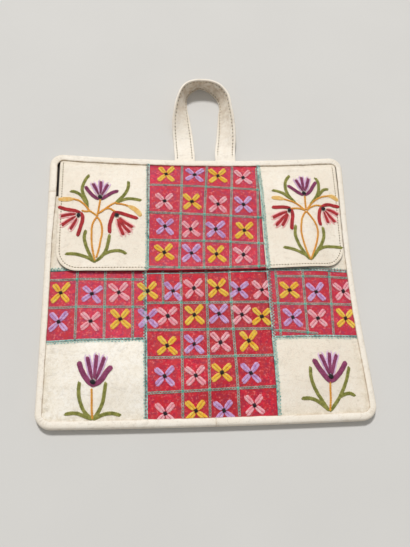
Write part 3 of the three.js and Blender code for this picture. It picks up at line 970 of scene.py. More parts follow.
def makeBinding():
    spots, inwards, bend = edgeStations()
    section = np.array(binding["section"])
    # a grid rolled up: its last row and column come to lie on its first, and are merged with them
    piece, place, station = makeGrid("edgeBindingStrip", len(section), len(spots))
    place, station = place % len(section), station % len(spots)
    (inset, height), at, bend = section[place].T, spots[station], bend[station]
    showing = place < binding["showing"]
    run = runAlong(spots)[station]
    onTop = swell(inset - binding["topAt"], binding["topReach"]) * showing
    puff = binding["puff"] + binding["unevenPuff"] * softWaves(run, 0 * run, binding["puffWaves"])
    fullness = onTop * (puff + binding["wrinkle"] * softWaves(run, 0 * run, binding["wrinkleWaves"]))
    turns = run * math.tau
    finePleats = np.sin(turns / binding["finePleatLength"] + binding["finePleatPhase"])
    pleats = np.sin(turns / binding["pleatLength"]) + binding["finePleat"] * finePleats
    fullness = fullness + binding["pleat"] * bend * pleats * onTop
    crease = swell(at[:, 1] - binding["creaseAt"], 0.5) * (at[:, 0] < -bag["halfWidth"] + 1) * showing
    fullness = fullness - binding["creaseDepth"] * onTop * crease
    atBottom = (at[:, 1] < -bag["halfHeight"] + 1) * showing
    past = at[:, 0] - binding["join"]
    overlap = binding["joinStep"] * atBottom * (past > 0)
    overlap = overlap * np.exp(-np.clip(past, 0, 99) / binding["overlapLength"])
    fullness = fullness + overlap * swell(inset - binding["overlapAt"], binding["overlapReach"])
    ripple = binding["ripple"] * softWaves(run, inset, binding["rippleWaves"])
    ripple = ripple * showing * (inset > binding["rippleFrom"])
    into = inwards[station]
    wider = rise((at[:, 1] - binding["widerFrom"]) / binding["widerOver"])
    atLeft = binding["leftWidth"] + binding["leftWider"] * wider
    sideWidth = np.where(at[:, 0] < 0, atLeft, binding["rightWidth"])
    width = sideWidth * into[:, 0] ** 2 + binding["endWidth"] * into[:, 1] ** 2
    folded = binding["foldDepth"]
    slimmer = (width - folded) / (binding["drawnWidth"] - folded)
    slimInset = np.where(inset > folded, folded + (inset - folded) * slimmer, inset)
    along = at + into * (slimInset + ripple)[:, None]
    movePoints(piece, stack(*pulledIn(*along.T), height + fullness))
    # The binding is darkened: along its inner edge by wear and by painted shade where it meets the panels,
    # along its fold and at its corners by wear, in its crease by painted shade, and at the join
    darkening = swell(inset - binding["innerDarkAt"], binding["darkenedReach"]) * showing
    darkening = darkening + binding["foldWorn"] * swell(inset, binding["foldWornReach"])
    darkening = darkening + binding["bendWorn"] * bend * onTop + crease
    darkening = darkening + swell(past, binding["joinWornReach"]) * atBottom
    rememberPlace(piece, np.clip(darkening, 0, 1))
    merge = (bpy.ops.mesh.remove_doubles, {"threshold": 0.001 * mm})
    editWhole(piece, merge, (bpy.ops.mesh.normals_make_consistent, {"inside": False}))
    smoothShade(piece, 80)
    finishPiece(piece, "bindingLeather", ["edge_binding"])


print("edge binding")
makeBinding()

strap = {
    "width": 19.5, "thick": 2.0, "thinEnd": 1.2, "gap": 20, "centre": 5.9,
    "sewnLength": 6.8,  # caught inside the binding
    # the lower edge from the left leg round to the right one, as in the part's source
    "loopEdge": [
        (-11.1, 30), (-13.9, 50), (-16.2, 64), (-16.0, 75), (-11, 83.6), (-2.8, 88.6),
        (5.6, 86), (13.8, 77.5), (17.5, 67.5), (16.2, 55), (14.3, 41), (12.5, 27),
    ],
    # the strap leaves the flat and is upright this far along each leg, and beyond that it leans in
    "leftTurn": (28, 102), "rightTurn": (0, 110), "topTurn": (84, 106), "topLean": 12,
    "thinLength": 10, "dropLength": 14, "level": 3.1, "steps": 250,
    "stitchInset": 2.7, "stitchPitch": 3.3, "groove": 0.14, "grooveReach": 0.6,
    "ridge": 0.12, "ridgeAt": 1.3, "ridgeReach": 0.8, "slack": (91, 17, 0.09),
    "eased": 0.22,  # how round the edges are, as a part of the thickness
    # painted shade: the strap is darkened as it stands upright in the arch, all but this far in from its
    # edges, whose rims stay lit
    "darkening": 0.9, "shadeFromEdge": 1.2,
    "lookAhead": 0.8,  # the direction at a point is taken over this much on either side
}


# The strap's lower edge seen from above: a smooth curve through the points, even in its pace
def loopPlan():
    inner, sewnLength = strap["gap"] / 2, strap["sewnLength"]
    leg = [(inner, -sewnLength), (inner, strap["thinLength"])]
    knots = np.array([(-x, y) for x, y in leg] + strap["loopEdge"] + leg[::-1], float)
    knots = np.concatenate([[2 * knots[0] - knots[1]], knots, [2 * knots[-1] - knots[-2]]])
    line = []
    for i in range(1, len(knots) - 2):
        p0, p1, p2, p3 = knots[i - 1 : i + 3]
        d0, d1, d2 = [math.sqrt(np.hypot(*(b - a))) for a, b in ((p0, p1), (p1, p2), (p2, p3))]
        m1 = ((p1 - p0) / d0 - (p2 - p0) / (d0 + d1) + (p2 - p1) / d1) * d1
        m2 = ((p2 - p1) / d1 - (p3 - p1) / (d1 + d2) + (p3 - p2) / d2) * d1
        for t in np.linspace(0, 1, 24, endpoint=False):
            part = (2 * t**3 - 3 * t**2 + 1) * p1 + (t**3 - 2 * t**2 + t) * m1
            line.append(part + (3 * t**2 - 2 * t**3) * p2 + (t**3 - t**2) * m2)
    line = np.array([*line, knots[-2]]) + (strap["centre"], bag["halfHeight"])
    line = np.stack(pulledIn(*line.T), axis=1)
    return line, runAlong(line)


loopLine, loopRun = loopPlan()
loopLength = loopRun[-1]


def between(amount, start, end):
    return rise((amount - start) / (end - start))


def turnedAt(distance):
    left = between(distance, *strap["leftTurn"])
    return np.where(distance < loopLength / 2, left, between(loopLength - distance, *strap["rightTurn"]))


def loopPoint(distance):
    return [np.interp(distance, loopRun, loopLine[:, axis]) for axis in (0, 1)]


# The strap's own frame at a distance along it: its lower edge, across, and out of its upper face
def strapFrame(distance):
    x, y = loopPoint(distance)
    aheadX, aheadY = loopPoint(np.clip(distance + strap["lookAhead"], 0, loopLength))
    behindX, behindY = loopPoint(np.clip(distance - strap["lookAhead"], 0, loopLength))
    tx, ty = aheadX - behindX, aheadY - behindY
    size = np.hypot(tx, ty)
    outX, outY = -ty / size, tx / size
    fromEnd = np.minimum(distance, loopLength - distance)
    settled = rise((fromEnd - strap["sewnLength"] - strap["thinLength"] / 2) / strap["dropLength"])
    lean = math.pi / 2 * turnedAt(distance)
    lean = lean + math.radians(strap["topLean"]) * between(fromEnd, *strap["topTurn"])
    thick = strap["thinEnd"] + (strap["thick"] - strap["thinEnd"]) * settled
    base = stack(x, y, strap["level"] * (1 - settled) + thick / 2 * np.abs(np.cos(lean)))
    across = stack(outX * np.cos(lean), outY * np.cos(lean), np.sin(lean))
    through = stack(-outX * np.sin(lean), -outY * np.sin(lean), np.cos(lean))
    return base, across, through, thick


def layStrap(distance, w):
    base, across, through, thick = strapFrame(distance)
    toEdge = np.minimum(w, strap["width"] - w)
    groove = strap["groove"] * swell(toEdge - strap["stitchInset"], strap["grooveReach"])
    ridge = strap["ridge"] * swell(toEdge - strap["ridgeAt"], strap["ridgeReach"])
    ridge = ridge + softWaves(distance, w, strap["slack"])
    eased = edgeFall(toEdge, strap["eased"] * thick)
    top, under = thick / 2 - groove + ridge - eased, -thick / 2 + groove + eased
    middle = base + across * w[:, None]
    # painted shade where the strap stands upright in the arch; its lit rims are left out
    near = strap["darkening"] * turnedAt(distance) * (toEdge > strap["shadeFromEdge"])
    return middle + through * top[:, None], middle + through * under[:, None], near


print("loop handle")
widthMarks = gridMarks(0, strap["width"], 1.3, sheetGrid["stitchSteps"], sheetGrid["stitchSteps"])
lengthMarks = np.linspace(0, loopLength, strap["steps"] + 1)
laySheet("handleLoop", lengthMarks, widthMarks, layStrap, "bindingLeather", ["handle_strap"])


# Length, width and thread radius of one link; pitch from link to link; how far apart two rows lie
chains = {
    "petal": {"length": 2.7, "width": 2.45, "thread": 0.56, "pitch": 1.6, "rowGap": 2.5},
    "sepal": {"length": 2.5, "width": 1.95, "thread": 0.48, "pitch": 1.55, "rowGap": 1.6},
    "leaf": {"length": 2.4, "width": 1.75, "thread": 0.44, "pitch": 1.6, "rowGap": 1.4},
    "slim": {"length": 2.3, "width": 1.65, "thread": 0.42, "pitch": 1.5, "rowGap": 1.3},
    "tulip": {"length": 2.5, "width": 1.95, "thread": 0.48, "pitch": 1.55, "rowGap": 1.3},
    "stem": {"length": 2.6, "width": 1.95, "thread": 0.46, "pitch": 1.95, "rowGap": 1.5},
    "halo": {"length": 2.2, "width": 1.4, "thread": 0.38, "pitch": 1.4, "rowGap": 4.1},
    "bud": {"length": 2.2, "width": 1.8, "thread": 0.42, "pitch": 1.5, "rowGap": 1.5},
    "grid": {"length": 3.1, "width": 2.35, "thread": 0.34, "pitch": 2.3, "rowGap": 2.0},
    "seam": {"length": 2.3, "width": 1.15, "thread": 0.32, "pitch": 1.6, "rowGap": 1.5},
}
linkShape = {"tube": 0.25, "pinch": 0.3, "flatness": 0.85, "tilt": 0.35, "lift": 0.6}
rowShape = {"wobble": 0.05, "wobbleUp": 0.035, "stagger": 0.45, "overrun": 0.3, "shortest": 0.01}


# One link of chain stitch: a torus drawn out to a loop, slimmer where the next link holds it
def makeLink(name):
    size = chains[name]
    bpy.ops.mesh.primitive_torus_add(
        major_segments=10, minor_segments=4, major_radius=1 * mm, minor_radius=linkShape["tube"] * mm
    )
    link = bpy.context.object
    spots = readPoints(link)
    angle = np.arctan2(spots[:, 1], spots[:, 0])
    thread, tube = size["thread"], linkShape["tube"]
    outwards = (np.hypot(spots[:, 0], spots[:, 1]) - 1) / tube * thread
    reach = size["length"] / 2 - thread
    side = (size["width"] / 2 - thread) * (1 - linkShape["pinch"] * np.cos(angle))
    x, y = (reach + outwards) * np.cos(angle), (side + outwards) * np.sin(angle)
    z = spots[:, 2] / tube * linkShape["flatness"] - linkShape["tilt"] * np.cos(angle) + linkShape["lift"]
    movePoints(link, stack(x, y, z * thread))
    smoothShade(link, 180)
    return link


links = {name: makeLink(name) for name in chains}
sewn = {}


# A path for the thread to follow, drawn flat and smooth through the points
def drawPath(points):
    data = bpy.data.curves.new("threadPath", "CURVE")
    data.dimensions = "3D"
    data.twist_mode = "Z_UP"
    data.use_path = True
    data.resolution_u = 16
    line = data.splines.new("BEZIER")
    line.bezier_points.add(len(points) - 1)
    for knot, (x, y) in zip(line.bezier_points, points):
        knot.co = (x * mm, y * mm, 0)
        knot.handle_left_type = knot.handle_right_type = "AUTO"
    return linked("threadPath", data), line.calc_length() / mm


# Straight rows of chain stitch side by side, as long as asked; a taper is a width and a length
def straightChain(chainName, length, rowCount, taperStart, taperEnd, seed):
    size = chains[chainName]
    count = max(2, round((length - size["length"]) / size["pitch"]) + 1)
    pitch = (length - size["length"]) / (count - 1)
    run = ownCopy(links[chainName])
    repeat(run, count, pitch)
    if rowCount > 1:
        repeat(run, rowCount, 0, size["rowGap"])
    spots = readPoints(run)
    number = np.arange(len(spots)) // len(links[chainName].data.vertices)
    row = number // count
    wobble = np.random.default_rng(seed).normal(0, 1, (number.max() + 1, 3))[number]
    wobble = wobble * (rowShape["wobble"], rowShape["wobble"], rowShape["wobbleUp"])
    x = spots[:, 0] + size["length"] / 2 + np.where(row % 2 == 1, pitch * rowShape["stagger"], 0)
    y = spots[:, 1] - size["rowGap"] * (rowCount - 1) / 2
    (slimStart, startLength), (slimEnd, endLength) = taperStart, taperEnd
    fromStart = np.clip(x / max(startLength, rowShape["shortest"]), 0, 1)
    fromEnd = np.clip((length + rowShape["overrun"] - x) / max(endLength, rowShape["shortest"]), 0, 1)
    shape = slimStart + (1 - slimStart) * np.sin(fromStart * math.pi / 2)
    shape = shape * (slimEnd + (1 - slimEnd) * np.sqrt(np.clip(1 - (1 - fromEnd) ** 2, 0, 1)))
    movePoints(run, stack(x, y * shape, spots[:, 2]) + wobble)
    return run


def keepRun(region, thread, run, lift=0.0):
    if lift:
        movePoints(run, readPoints(run) + (0, 0, lift))
    sewn.setdefault((region, thread), []).append(run)


def layAlong(region, thread, run, path, lift):
    applyModifier(run, "CURVE", object=path, deform_axis="POS_X")
    bpy.data.objects.remove(path)
    keepRun(region, thread, run, lift)


# Rows of chain stitch along a drawn path
def sewAlong(region, thread, chainName, points, rowCount=1, start=(1, 1), end=(1, 1), lift=0.0):
    path, length = drawPath(points)
    seed = int(abs(points[0][0] * 37 + points[-1][1] * 101)) + len(points)
    layAlong(region, thread, straightChain(chainName, length, rowCount, start, end, seed), path, lift)


# A round knot: thread wound twice, the second turn smaller and on top
def makeKnot():
    turns = []
    for turn in (
        {"major_segments": 11, "minor_segments": 6, "major_radius": 0.82 * mm, "minor_radius": 0.62 * mm,
         "location": (0, 0, 0.4 * mm)},
        {"major_segments": 9, "minor_segments": 5, "major_radius": 0.42 * mm, "minor_radius": 0.42 * mm,
         "location": (0.12 * mm, 0.05 * mm, 0.95 * mm), "rotation": (0.35, 0.2, 0)},
    ):
        bpy.ops.mesh.primitive_torus_add(**turn)
        turns.append(bpy.context.object)
    knot = joined(turns, "knotStart")
    spots = readPoints(knot)
    angle = np.arctan2(spots[:, 1], spots[:, 0])
    spots[:, :2] *= (1 + 0.1 * np.sin(2 * angle + 0.6) + 0.06 * np.sin(5 * angle))[:, None]
    movePoints(knot, spots)
    smoothShade(knot, 180)
    return knot


knotStart = makeKnot()


def tieKnot(region, thread, x, y, size=1.0, lift=0.0, seed=1):
    turn = Matrix.Rotation(random.Random(seed).uniform(0, math.tau), 4, "Z")
    spot = placeAt(x, y, lift) @ turn @ Matrix.Diagonal((size, size, min(size, 1.1), 1))
    keepRun(region, thread, ownCopy(knotStart, spot))


# The crossed flowers in the squares: how far their petals reach, and where each one lies
flowerReach = {"yellow": 10.8, "pink": 10.8, "lilac": 10.7}
petalShape = {"inner": 1.1, "uneven": 0.5, "sway": 0.09, "start": (0.5, 4.5), "end": (0.15, 2.2)}
flowerVaries = {"turn": 0.08, "wide": (0.94, 1.03), "tall": (0.95, 1.04), "knot": (1.1, 1.3)}
flowerKnotLift = 0.45
flowerSpots = {
    "flap": {
        "yellow": [(-32.2, 104.2), (16.4, 102.7), (-9.3, 73.5), (37.3, 44.5), (-35.3, 22.9), (10.8, 21)],
        "lilac": [(-5.6, 103.8), (38.3, 70.6), (-34.3, 48.4), (11.3, 45.5), (-11.3, 22)],
        "pink": [(40.1, 100.9), (-34.3, 73.8), (14.7, 71), (-11.3, 45.5), (34.9, 20.5)],
    },
    "leftArm": {
        "yellow": [(-124, -12.2), (-50, -12.5), (-73.2, -37.1)],
        "lilac": [(-97.4, -14.4), (-124.5, -38), (-50, -36.6)],
        "pink": [(-74.7, -13.4), (-97.8, -38.6)],
    },
    "centre": {
        "yellow": [
            (10.6, -10), (-10.6, -34.2), (47.6, -36.6), (-34.2, -60.8), (34.8, -57.8), (10.6, -84.5),
            (-11.7, -114.5),
        ],
        "lilac": [
            (-28.3, -12.5), (29.4, -11.5), (10.6, -33.7), (-11.6, -59.8), (-36.7, -86.4), (34.8, -85.4),
            (11.1, -114.9),
        ],
        "pink": [
            (-10.1, -10), (49.6, -12), (-33.2, -35.1), (30.4, -34.7), (10.6, -58.8), (-11.1, -86.4),
            (-36.6, -115.9), (36.4, -111.5),
        ],
    },
    "rightArm": {
        "yellow": [(74.3, -12.5), (122.7, -38.1)],
        "lilac": [(97.9, -14.4), (74.7, -37.6)],
        "pink": [(123.8, -12.7), (96.9, -38.6)],
    },
}
# What lies beyond these lines is under a seam or the binding: a point of the line and the way out
flowerCuts = {
    "leftArm": [((-133.6, 0), (-1, 0))],
    "centre": [((55.6, 0), (1, 0)), ((0, -120.2), (0, -1))],
    "rightArm": [((130.6, 0), (1, 0))],
}


def makeFlower(kind, seed):
    draw = random.Random(seed)
    petals, shape = [], petalShape
    for i in range(4):
        length = flowerReach[kind] - shape["inner"] + draw.uniform(-shape["uneven"], shape["uneven"])
        petal = straightChain("petal", length, 2, shape["start"], shape["end"], seed * 4 + i)
        angle = math.pi / 4 + i * math.pi / 2 + draw.uniform(-shape["sway"], shape["sway"])
        petal.matrix_world = Matrix.Rotation(angle, 4, "Z") @ placeAt(shape["inner"], 0)
        petals.append(petal)
    return joined(petals, kind + "Flower")


def sewFlowers():
    for kindNumber, kind in enumerate(flowerReach):
        variants = [makeFlower(kind, 10 * kindNumber + k + 1) for k in range(3)]
        for region, kinds in flowerSpots.items():
            for i, (x, y) in enumerate(kinds[kind]):
                draw = random.Random(kindNumber * 97 + i * 13 + len(region))
                turn = Matrix.Rotation(draw.uniform(-flowerVaries["turn"], flowerVaries["turn"]), 4, "Z")
                wide, tall = draw.uniform(*flowerVaries["wide"]), draw.uniform(*flowerVaries["tall"])
                spot = placeAt(x, y) @ turn @ Matrix.Diagonal((wide, tall, 1, 1))
                keepRun(region, kind + "Thread", ownCopy(variants[(i + len(region)) % 3], spot))
                knotRegion = "flap" if region == "flap" else "front"
                knotSize = draw.uniform(*flowerVaries["knot"])
                tieKnot(knotRegion, "knotThread", x, y, knotSize, flowerKnotLift, i + kindNumber)
        threwAway(variants)


print("crossed flowers")
sewFlowers()

# The bouquets on the flap and the tulips on the front: how they are sewn, and each one's paths
bouquetStyles = {
    "flap": {"inner": "slim", "outer": "sepal", "outerRows": 2, "drawBack": 0.6, "knotSize": 1.35},
    "front": {"inner": "tulip", "outer": "tulip", "outerRows": 3, "drawBack": 1.6, "knotSize": 1.5},
}
bouquetRows = {
    "leaf": {"rowCount": 2, "start": (0.4, 6), "end": (0.45, 3.5)},
    "stem": {"lift": 0.15},
    "bud": {"rowCount": 3, "start": (0.3, 6), "end": (0.2, 6)},
    "pale": {"rowCount": 2, "start": (0.62, 5), "end": (0.1, 3)},
    "inner": {"rowCount": 2, "start": (0.4, 9), "end": (0.45, 2), "lift": 0.3},
    "outer": {"start": (0.45, 6), "end": (0.2, 2.8), "lift": 0.2},
}
leafBack, stemOn, paleOn, bouquetKnotLift = 0.9, 1.0, 1.9, 0.8
bouquets = [
    ("flap", {
        "leaves": [
            [(-103, 67.8), (-104.8, 74.3), (-107.6, 81), (-108.8, 86.1), (-107.8, 92.1), (-105.7, 98),
             (-103.1, 102.6)], [(-105, 71.4), (-108, 77.7), (-111.6, 81.6), (-115.8, 84), (-119.6, 84.9)],
            [(-78.3, 72.4), (-73.8, 76.7), (-70.1, 81.3), (-67.5, 87.5), (-67, 95.4)],
            [(-78.3, 71.8), (-72.9, 74.4), (-67.2, 76.1), (-61.4, 75.8), (-55.4, 74.5)],
            [(-97.5, 16.5), (-101.8, 25), (-104.3, 32.3), (-105.3, 38.5), (-104.1, 44.7)],
            [(-95.5, 13.8), (-100.8, 17.7), (-106.9, 20.3), (-113.6, 22.3), (-121.2, 22.9)],
            [(-95, 14.7), (-89.9, 19.2), (-86.2, 25.5), (-84.4, 32.9), (-83.3, 40.3)],
            [(-88.8, 20.1), (-84.5, 23.1), (-78.5, 24.6), (-72.4, 24), (-68.5, 21.5)],
        ],
        "stems": [
            [(-94.7, 57.8), (-97.4, 53.4), (-98.9, 47.7), (-99, 40.3), (-98.6, 31.6), (-97.4, 23.7),
             (-95.6, 15.9)],
            [(-94.7, 57.8), (-92.1, 54.1), (-90.3, 48.4), (-90, 41.5), (-91.1, 34.1), (-92.3, 26.7),
             (-94.3, 18.9)], [(-94.6, 58.5), (-93.5, 64.9), (-92.7, 70.7), (-92.3, 74.6)],
            [(-94.6, 58.8), (-97.9, 61.3), (-101.3, 63.4), (-105, 63.3), (-107.8, 64.1)],
            [(-101.3, 63.4), (-103.7, 67.1), (-107.5, 71.5), (-111.7, 74.8), (-116.3, 76.5)],
            [(-93.6, 61), (-88.7, 64.9), (-84.7, 66.2), (-80.7, 64.3), (-79, 63)],
            [(-92, 62), (-87.5, 65.9), (-83.1, 69.4), (-78.3, 72.1)],
            [(-78.3, 71.1), (-72.8, 70.5), (-67.7, 68.9)],
        ],
        "buds": [
            [(-115.5, 76.5), (-122.7, 76.8), (-130, 77)],
            [(-67.7, 68.9), (-62.5, 66.3), (-58.5, 62.8), (-55.6, 58.3)],
        ],
        "plumOuter": [
            [(-93.4, 75.2), (-98, 78.4), (-102.2, 83), (-106.1, 89.1)],
            [(-91.1, 75.2), (-85.5, 79.5), (-81, 82.5), (-76.1, 83.9)],
        ],
        "plumInner": [
            [(-93.2, 79.1), (-95.9, 85.1), (-99.4, 92.3)], [(-92.3, 79.8), (-92, 87.2), (-92.2, 95)],
            [(-91.2, 79.1), (-88.5, 85.2), (-85.5, 91.3)],
        ],
        "crimsonOuter": [
            [(-109.7, 62.5), (-115.1, 64.6), (-123.2, 66.9), (-129.8, 69.4)],
            [(-108.8, 62.4), (-107.3, 56.9), (-109.1, 47.2), (-111.4, 39.2)],
            [(-79, 62.7), (-72.7, 61.1), (-65.9, 58.6), (-58.5, 56.1)],
            [(-79.6, 62.7), (-81.7, 56), (-83.3, 49.7), (-83.2, 41.5)],
        ],
        "crimsonInner": [
            [(-113.1, 60.8), (-120.2, 60.9), (-126.8, 59.7)],
            [(-113.1, 58.8), (-119.1, 55.4), (-125.5, 50.8)],
            [(-112.1, 57.2), (-114.6, 52.1), (-117.9, 46.3)], [(-75.5, 57.3), (-70.4, 52.2), (-63, 47.2)],
            [(-75.8, 56), (-70.9, 48.4), (-65.5, 42.2)], [(-76.9, 56), (-74.3, 47.8), (-71.1, 39.7)],
        ],
        "knots": [(-92.3, 77.4), (-111.1, 59.6), (-77.3, 59.2)],
    }),
    ("flap", {
        "leaves": [
            [(87.6, 72.9), (83, 78.3), (80.2, 84), (79.5, 90.6), (81.3, 98.5), (85.4, 104.4)],
            [(82.3, 77.3), (77.9, 81.9), (72.7, 84.7), (66.5, 86.4)],
            [(101.5, 72), (106.1, 77), (109.6, 82.7), (111.9, 90.1), (112.1, 97.3), (110, 102.2)],
            [(109.9, 80), (113.5, 85.2), (117.2, 88.6), (121.5, 89.3)],
            [(94.9, 15.9), (89.7, 24.6), (86.3, 32.2), (84.2, 41.1), (85.4, 50.2)],
            [(92.1, 19.6), (86, 23.7), (79.3, 26.5), (72.1, 28.1)],
            [(96.4, 15.9), (103.2, 24.7), (108.4, 32.5), (111.3, 40.4), (111, 48.8)],
            [(103.2, 24.7), (109.2, 28.4), (116.9, 29.7), (128, 28.8)],
        ],
        "stems": [
            [(96.4, 64.3), (92.5, 58), (90.7, 50.8), (90.2, 41.8), (91.6, 31.6), (93.6, 22.7), (95.5, 16.2)],
            [(96.7, 64.3), (100.9, 58.1), (104.7, 51), (105.7, 43.3), (104.2, 35.5), (101.1, 27.1),
             (96.4, 16.5)], [(96.4, 65.3), (96.6, 72), (96.8, 79.4)],
            [(95.9, 65), (91.5, 66.5), (86.8, 67.1), (81.9, 66.6)],
            [(95.1, 65.6), (90.7, 69.9), (87.3, 72.6), (82.1, 74.9), (77.1, 76.5)],
            [(97.2, 65.3), (102.1, 68.7), (107.3, 70.7), (111.7, 70.4)],
            [(98.2, 66.7), (101.1, 70.7), (105.2, 74.9), (108.7, 77.5), (114.2, 80.5), (119.6, 81.7)],
        ],
        "buds": [
            [(77.7, 76.5), (72.1, 77.7), (65.2, 78.1)], [(119.3, 81.9), (124.1, 81.5), (129.6, 77.1)],
        ],
        "plumOuter": [
            [(95.4, 80.7), (89.2, 85.5), (85.4, 89.2), (82, 92.2)],
            [(97.5, 80.8), (102.7, 85.7), (106, 91.1), (110, 96.9)],
        ],
        "plumInner": [
            [(95.7, 84.9), (93.2, 92.3), (90.6, 99.4)], [(96.9, 85.6), (96.6, 94.3), (96.6, 102.6)],
            [(97.7, 85.3), (100.7, 93.2), (103.4, 101.2)],
        ],
        "crimsonOuter": [
            [(81.7, 67.6), (75.4, 68.2), (69.4, 68.1), (64.7, 68)],
            [(83.1, 66.2), (83.3, 59.3), (82, 52.1), (81.4, 45.6)],
            [(112, 70.1), (119.1, 72.5), (125.4, 71.4), (130, 70.5)],
            [(111.2, 69), (108.9, 61.8), (108.4, 55.8), (109.3, 50.2)],
        ],
        "crimsonInner": [
            [(78.9, 63.6), (71.8, 60.9), (64.8, 57.4)], [(78.8, 62.3), (73.1, 56), (67.1, 49.6)],
            [(79.5, 61.6), (76.4, 55.4), (72.8, 49.4)], [(115.8, 67.1), (122.1, 65.7), (127.3, 62.2)],
            [(115, 66), (119.4, 60.2), (123.9, 54.6)], [(113.7, 64.9), (115.5, 59.1), (117.2, 53.5)],
        ],
        "knots": [(96.2, 82.9), (80.5, 64.9), (113.5, 67.4)],
    }),
    ("front", {
        "leaves": [
            [(-94.3, -119), (-100.1, -113.8), (-103.7, -107.1), (-105.6, -99.3), (-105.3, -89.2)],
            [(-93.8, -118.8), (-89.6, -112.6), (-86.6, -105.8), (-85.3, -98.1), (-84.2, -90.2)],
            [(-94.7, -119.2), (-100.9, -116.2), (-108, -113.8), (-116.4, -114.3)],
            [(-93.4, -119.2), (-86.9, -115.7), (-79.9, -114.6), (-72.2, -116.3)],
        ],
        "stems": [
            [(-95.5, -94.8), (-95.2, -103.9), (-95.1, -111.6), (-94.3, -118.4)],
        ],
        "plumOuter": [
            [(-95, -92.2), (-99.7, -87.1), (-104, -79.7), (-106.3, -72.7)],
            [(-93.4, -92.2), (-88.1, -88.3), (-83.8, -82), (-79.6, -77.1)],
        ],
        "plumInner": [
            [(-95.1, -88.1), (-97.3, -79), (-99.5, -69)], [(-93.9, -87.3), (-92.8, -78.2), (-92, -67.5)],
            [(-92.7, -88.6), (-89.2, -80.1), (-85.6, -69.5)],
        ],
        "knots": [(-94.6, -89.8)],
    }),
    ("front", {
        "leaves": [
            [(98.8, -117.4), (93.4, -108.7), (87.9, -98.7), (85.5, -90.3), (85.6, -81)],
            [(100, -117.5), (106.3, -109.8), (111.5, -101.6), (116.1, -92.3), (120.1, -81.1)],
            [(98.3, -117), (92.3, -111.1), (84.8, -107.2), (76.4, -106.8)],
            [(107.4, -107.3), (114, -104.1), (118.5, -103.7), (122.4, -105.7)],
        ],
        "stems": [
            [(101.3, -94), (101, -103.1), (100.6, -110.5), (99.6, -117)],
        ],
        "plumOuter": [
            [(100.9, -93.6), (96.7, -88), (92.2, -81), (88.9, -74.6)],
            [(102.4, -93.6), (108.2, -89), (113.6, -82.8), (117.6, -76.6)],
        ],
        "plumInner": [
            [(101.4, -88.5), (98.5, -79.4), (95.4, -70.7)],
            [(102.4, -87.7), (102.6, -78.6), (103.3, -69.3)],
            [(103.4, -88.6), (106.2, -79.4), (109.8, -70.7)],
        ],
        "knots": [(102.2, -89.8)],
    }),
]


# Drawn a little past its last point, for the pale outline round a petal's tip
def drawnOn(points, extra):
    (ax, ay), (bx, by) = points[-2], points[-1]
    size = math.hypot(bx - ax, by - ay)
    return [*points[:-1], (bx + (bx - ax) / size * extra, by + (by - ay) / size * extra)]


# Begun a little before its first point, so that two petals meet below the knot
def drawnBack(points, extra):
    return drawnOn(points[::-1], extra)[::-1]


def sewBouquet(region, parts):
    style, rows = bouquetStyles[region], bouquetRows
    for leaf in parts["leaves"]:
        sewAlong(region, "oliveThread", "leaf", drawnBack(leaf, leafBack), **rows["leaf"])
    for stem in parts["stems"]:
        sewAlong(region, "orangeThread", "stem", drawnOn(stem, stemOn), **rows["stem"])
    for bud in parts.get("buds", []):
        sewAlong(region, "budThread", "bud", bud, **rows["bud"])
    for colour, pale in (("plum", "paleLilacThread"), ("crimson", "paleRoseThread")):
        thread = colour + "Thread"
        for petal in parts.get(colour + "Inner", []):
            sewAlong(region, pale, "halo", drawnOn(petal, paleOn), **rows["pale"])
            sewAlong(region, thread, style["inner"], petal, **rows["inner"])
        for petal in parts.get(colour + "Outer", []):
            petal = drawnBack(petal, style["drawBack"])
            sewAlong(region, thread, style["outer"], petal, style["outerRows"], **rows["outer"])
    for i, (x, y) in enumerate(parts["knots"]):
        tieKnot(region, "knotThread", x, y, style["knotSize"], bouquetKnotLift, i)


print("bouquets and tulips")
for region, parts in bouquets:
    sewBouquet(region, parts)

# The lines between the squares
gridLines = {
    "flap": [
        [(-16.8, 114.6), (-19.8, 60), (-22.5, 7)], [(6.7, 114.2), (1.8, 60), (-1, 6.6)],
        [(30.8, 114.4), (26, 60), (22.6, 7)], [(54, 112.6), (51.2, 60), (48.1, 7.4)],
        [(-48.4, 91.7), (0, 89.9), (54.6, 86.5)], [(-49.5, 62.4), (0, 60.7), (55.4, 57.6)],
        [(-49.8, 35.4), (0, 34), (55.6, 31.5)], [(-49.6, 9), (0, 7.9), (56, 9.7)],
    ],
    "front": [
        [(-110.3, 7.4), (-110.3, -53.6)], [(-86.5, 7.4), (-86.5, -53.6)], [(-62.8, 7.4), (-62.8, -53.6)],
        [(-133.6, -0.2), (-54, -1.8)], [(-133.6, -25.3), (-54, -26.6)], [(63.2, 5.6), (63, -53.4)],
        [(87.7, 5.6), (86.6, -53.4)], [(112.6, 5.6), (109.6, -53.4)], [(63, 0.9), (131.2, 0.2)],
        [(57.5, -24.3), (87, -25.3), (130.6, -25)], [(57.5, -48.7), (72, -49.5), (96, -52.2)],
        [(-36.8, 6.3), (-36.8, -22.4)], [(-20.8, 30), (-22.4, -120)], [(1.4, 30), (-0.3, -120)],
        [(21.3, 30), (22.4, -50), (23.8, -120)], [(-51, -23.1), (55.2, -23.1)],
        [(-51, -47.2), (55.4, -47.2)], [(-51, -70.8), (55.6, -70.4)], [(-50.8, -99.8), (55.8, -96.6)],
    ],
}
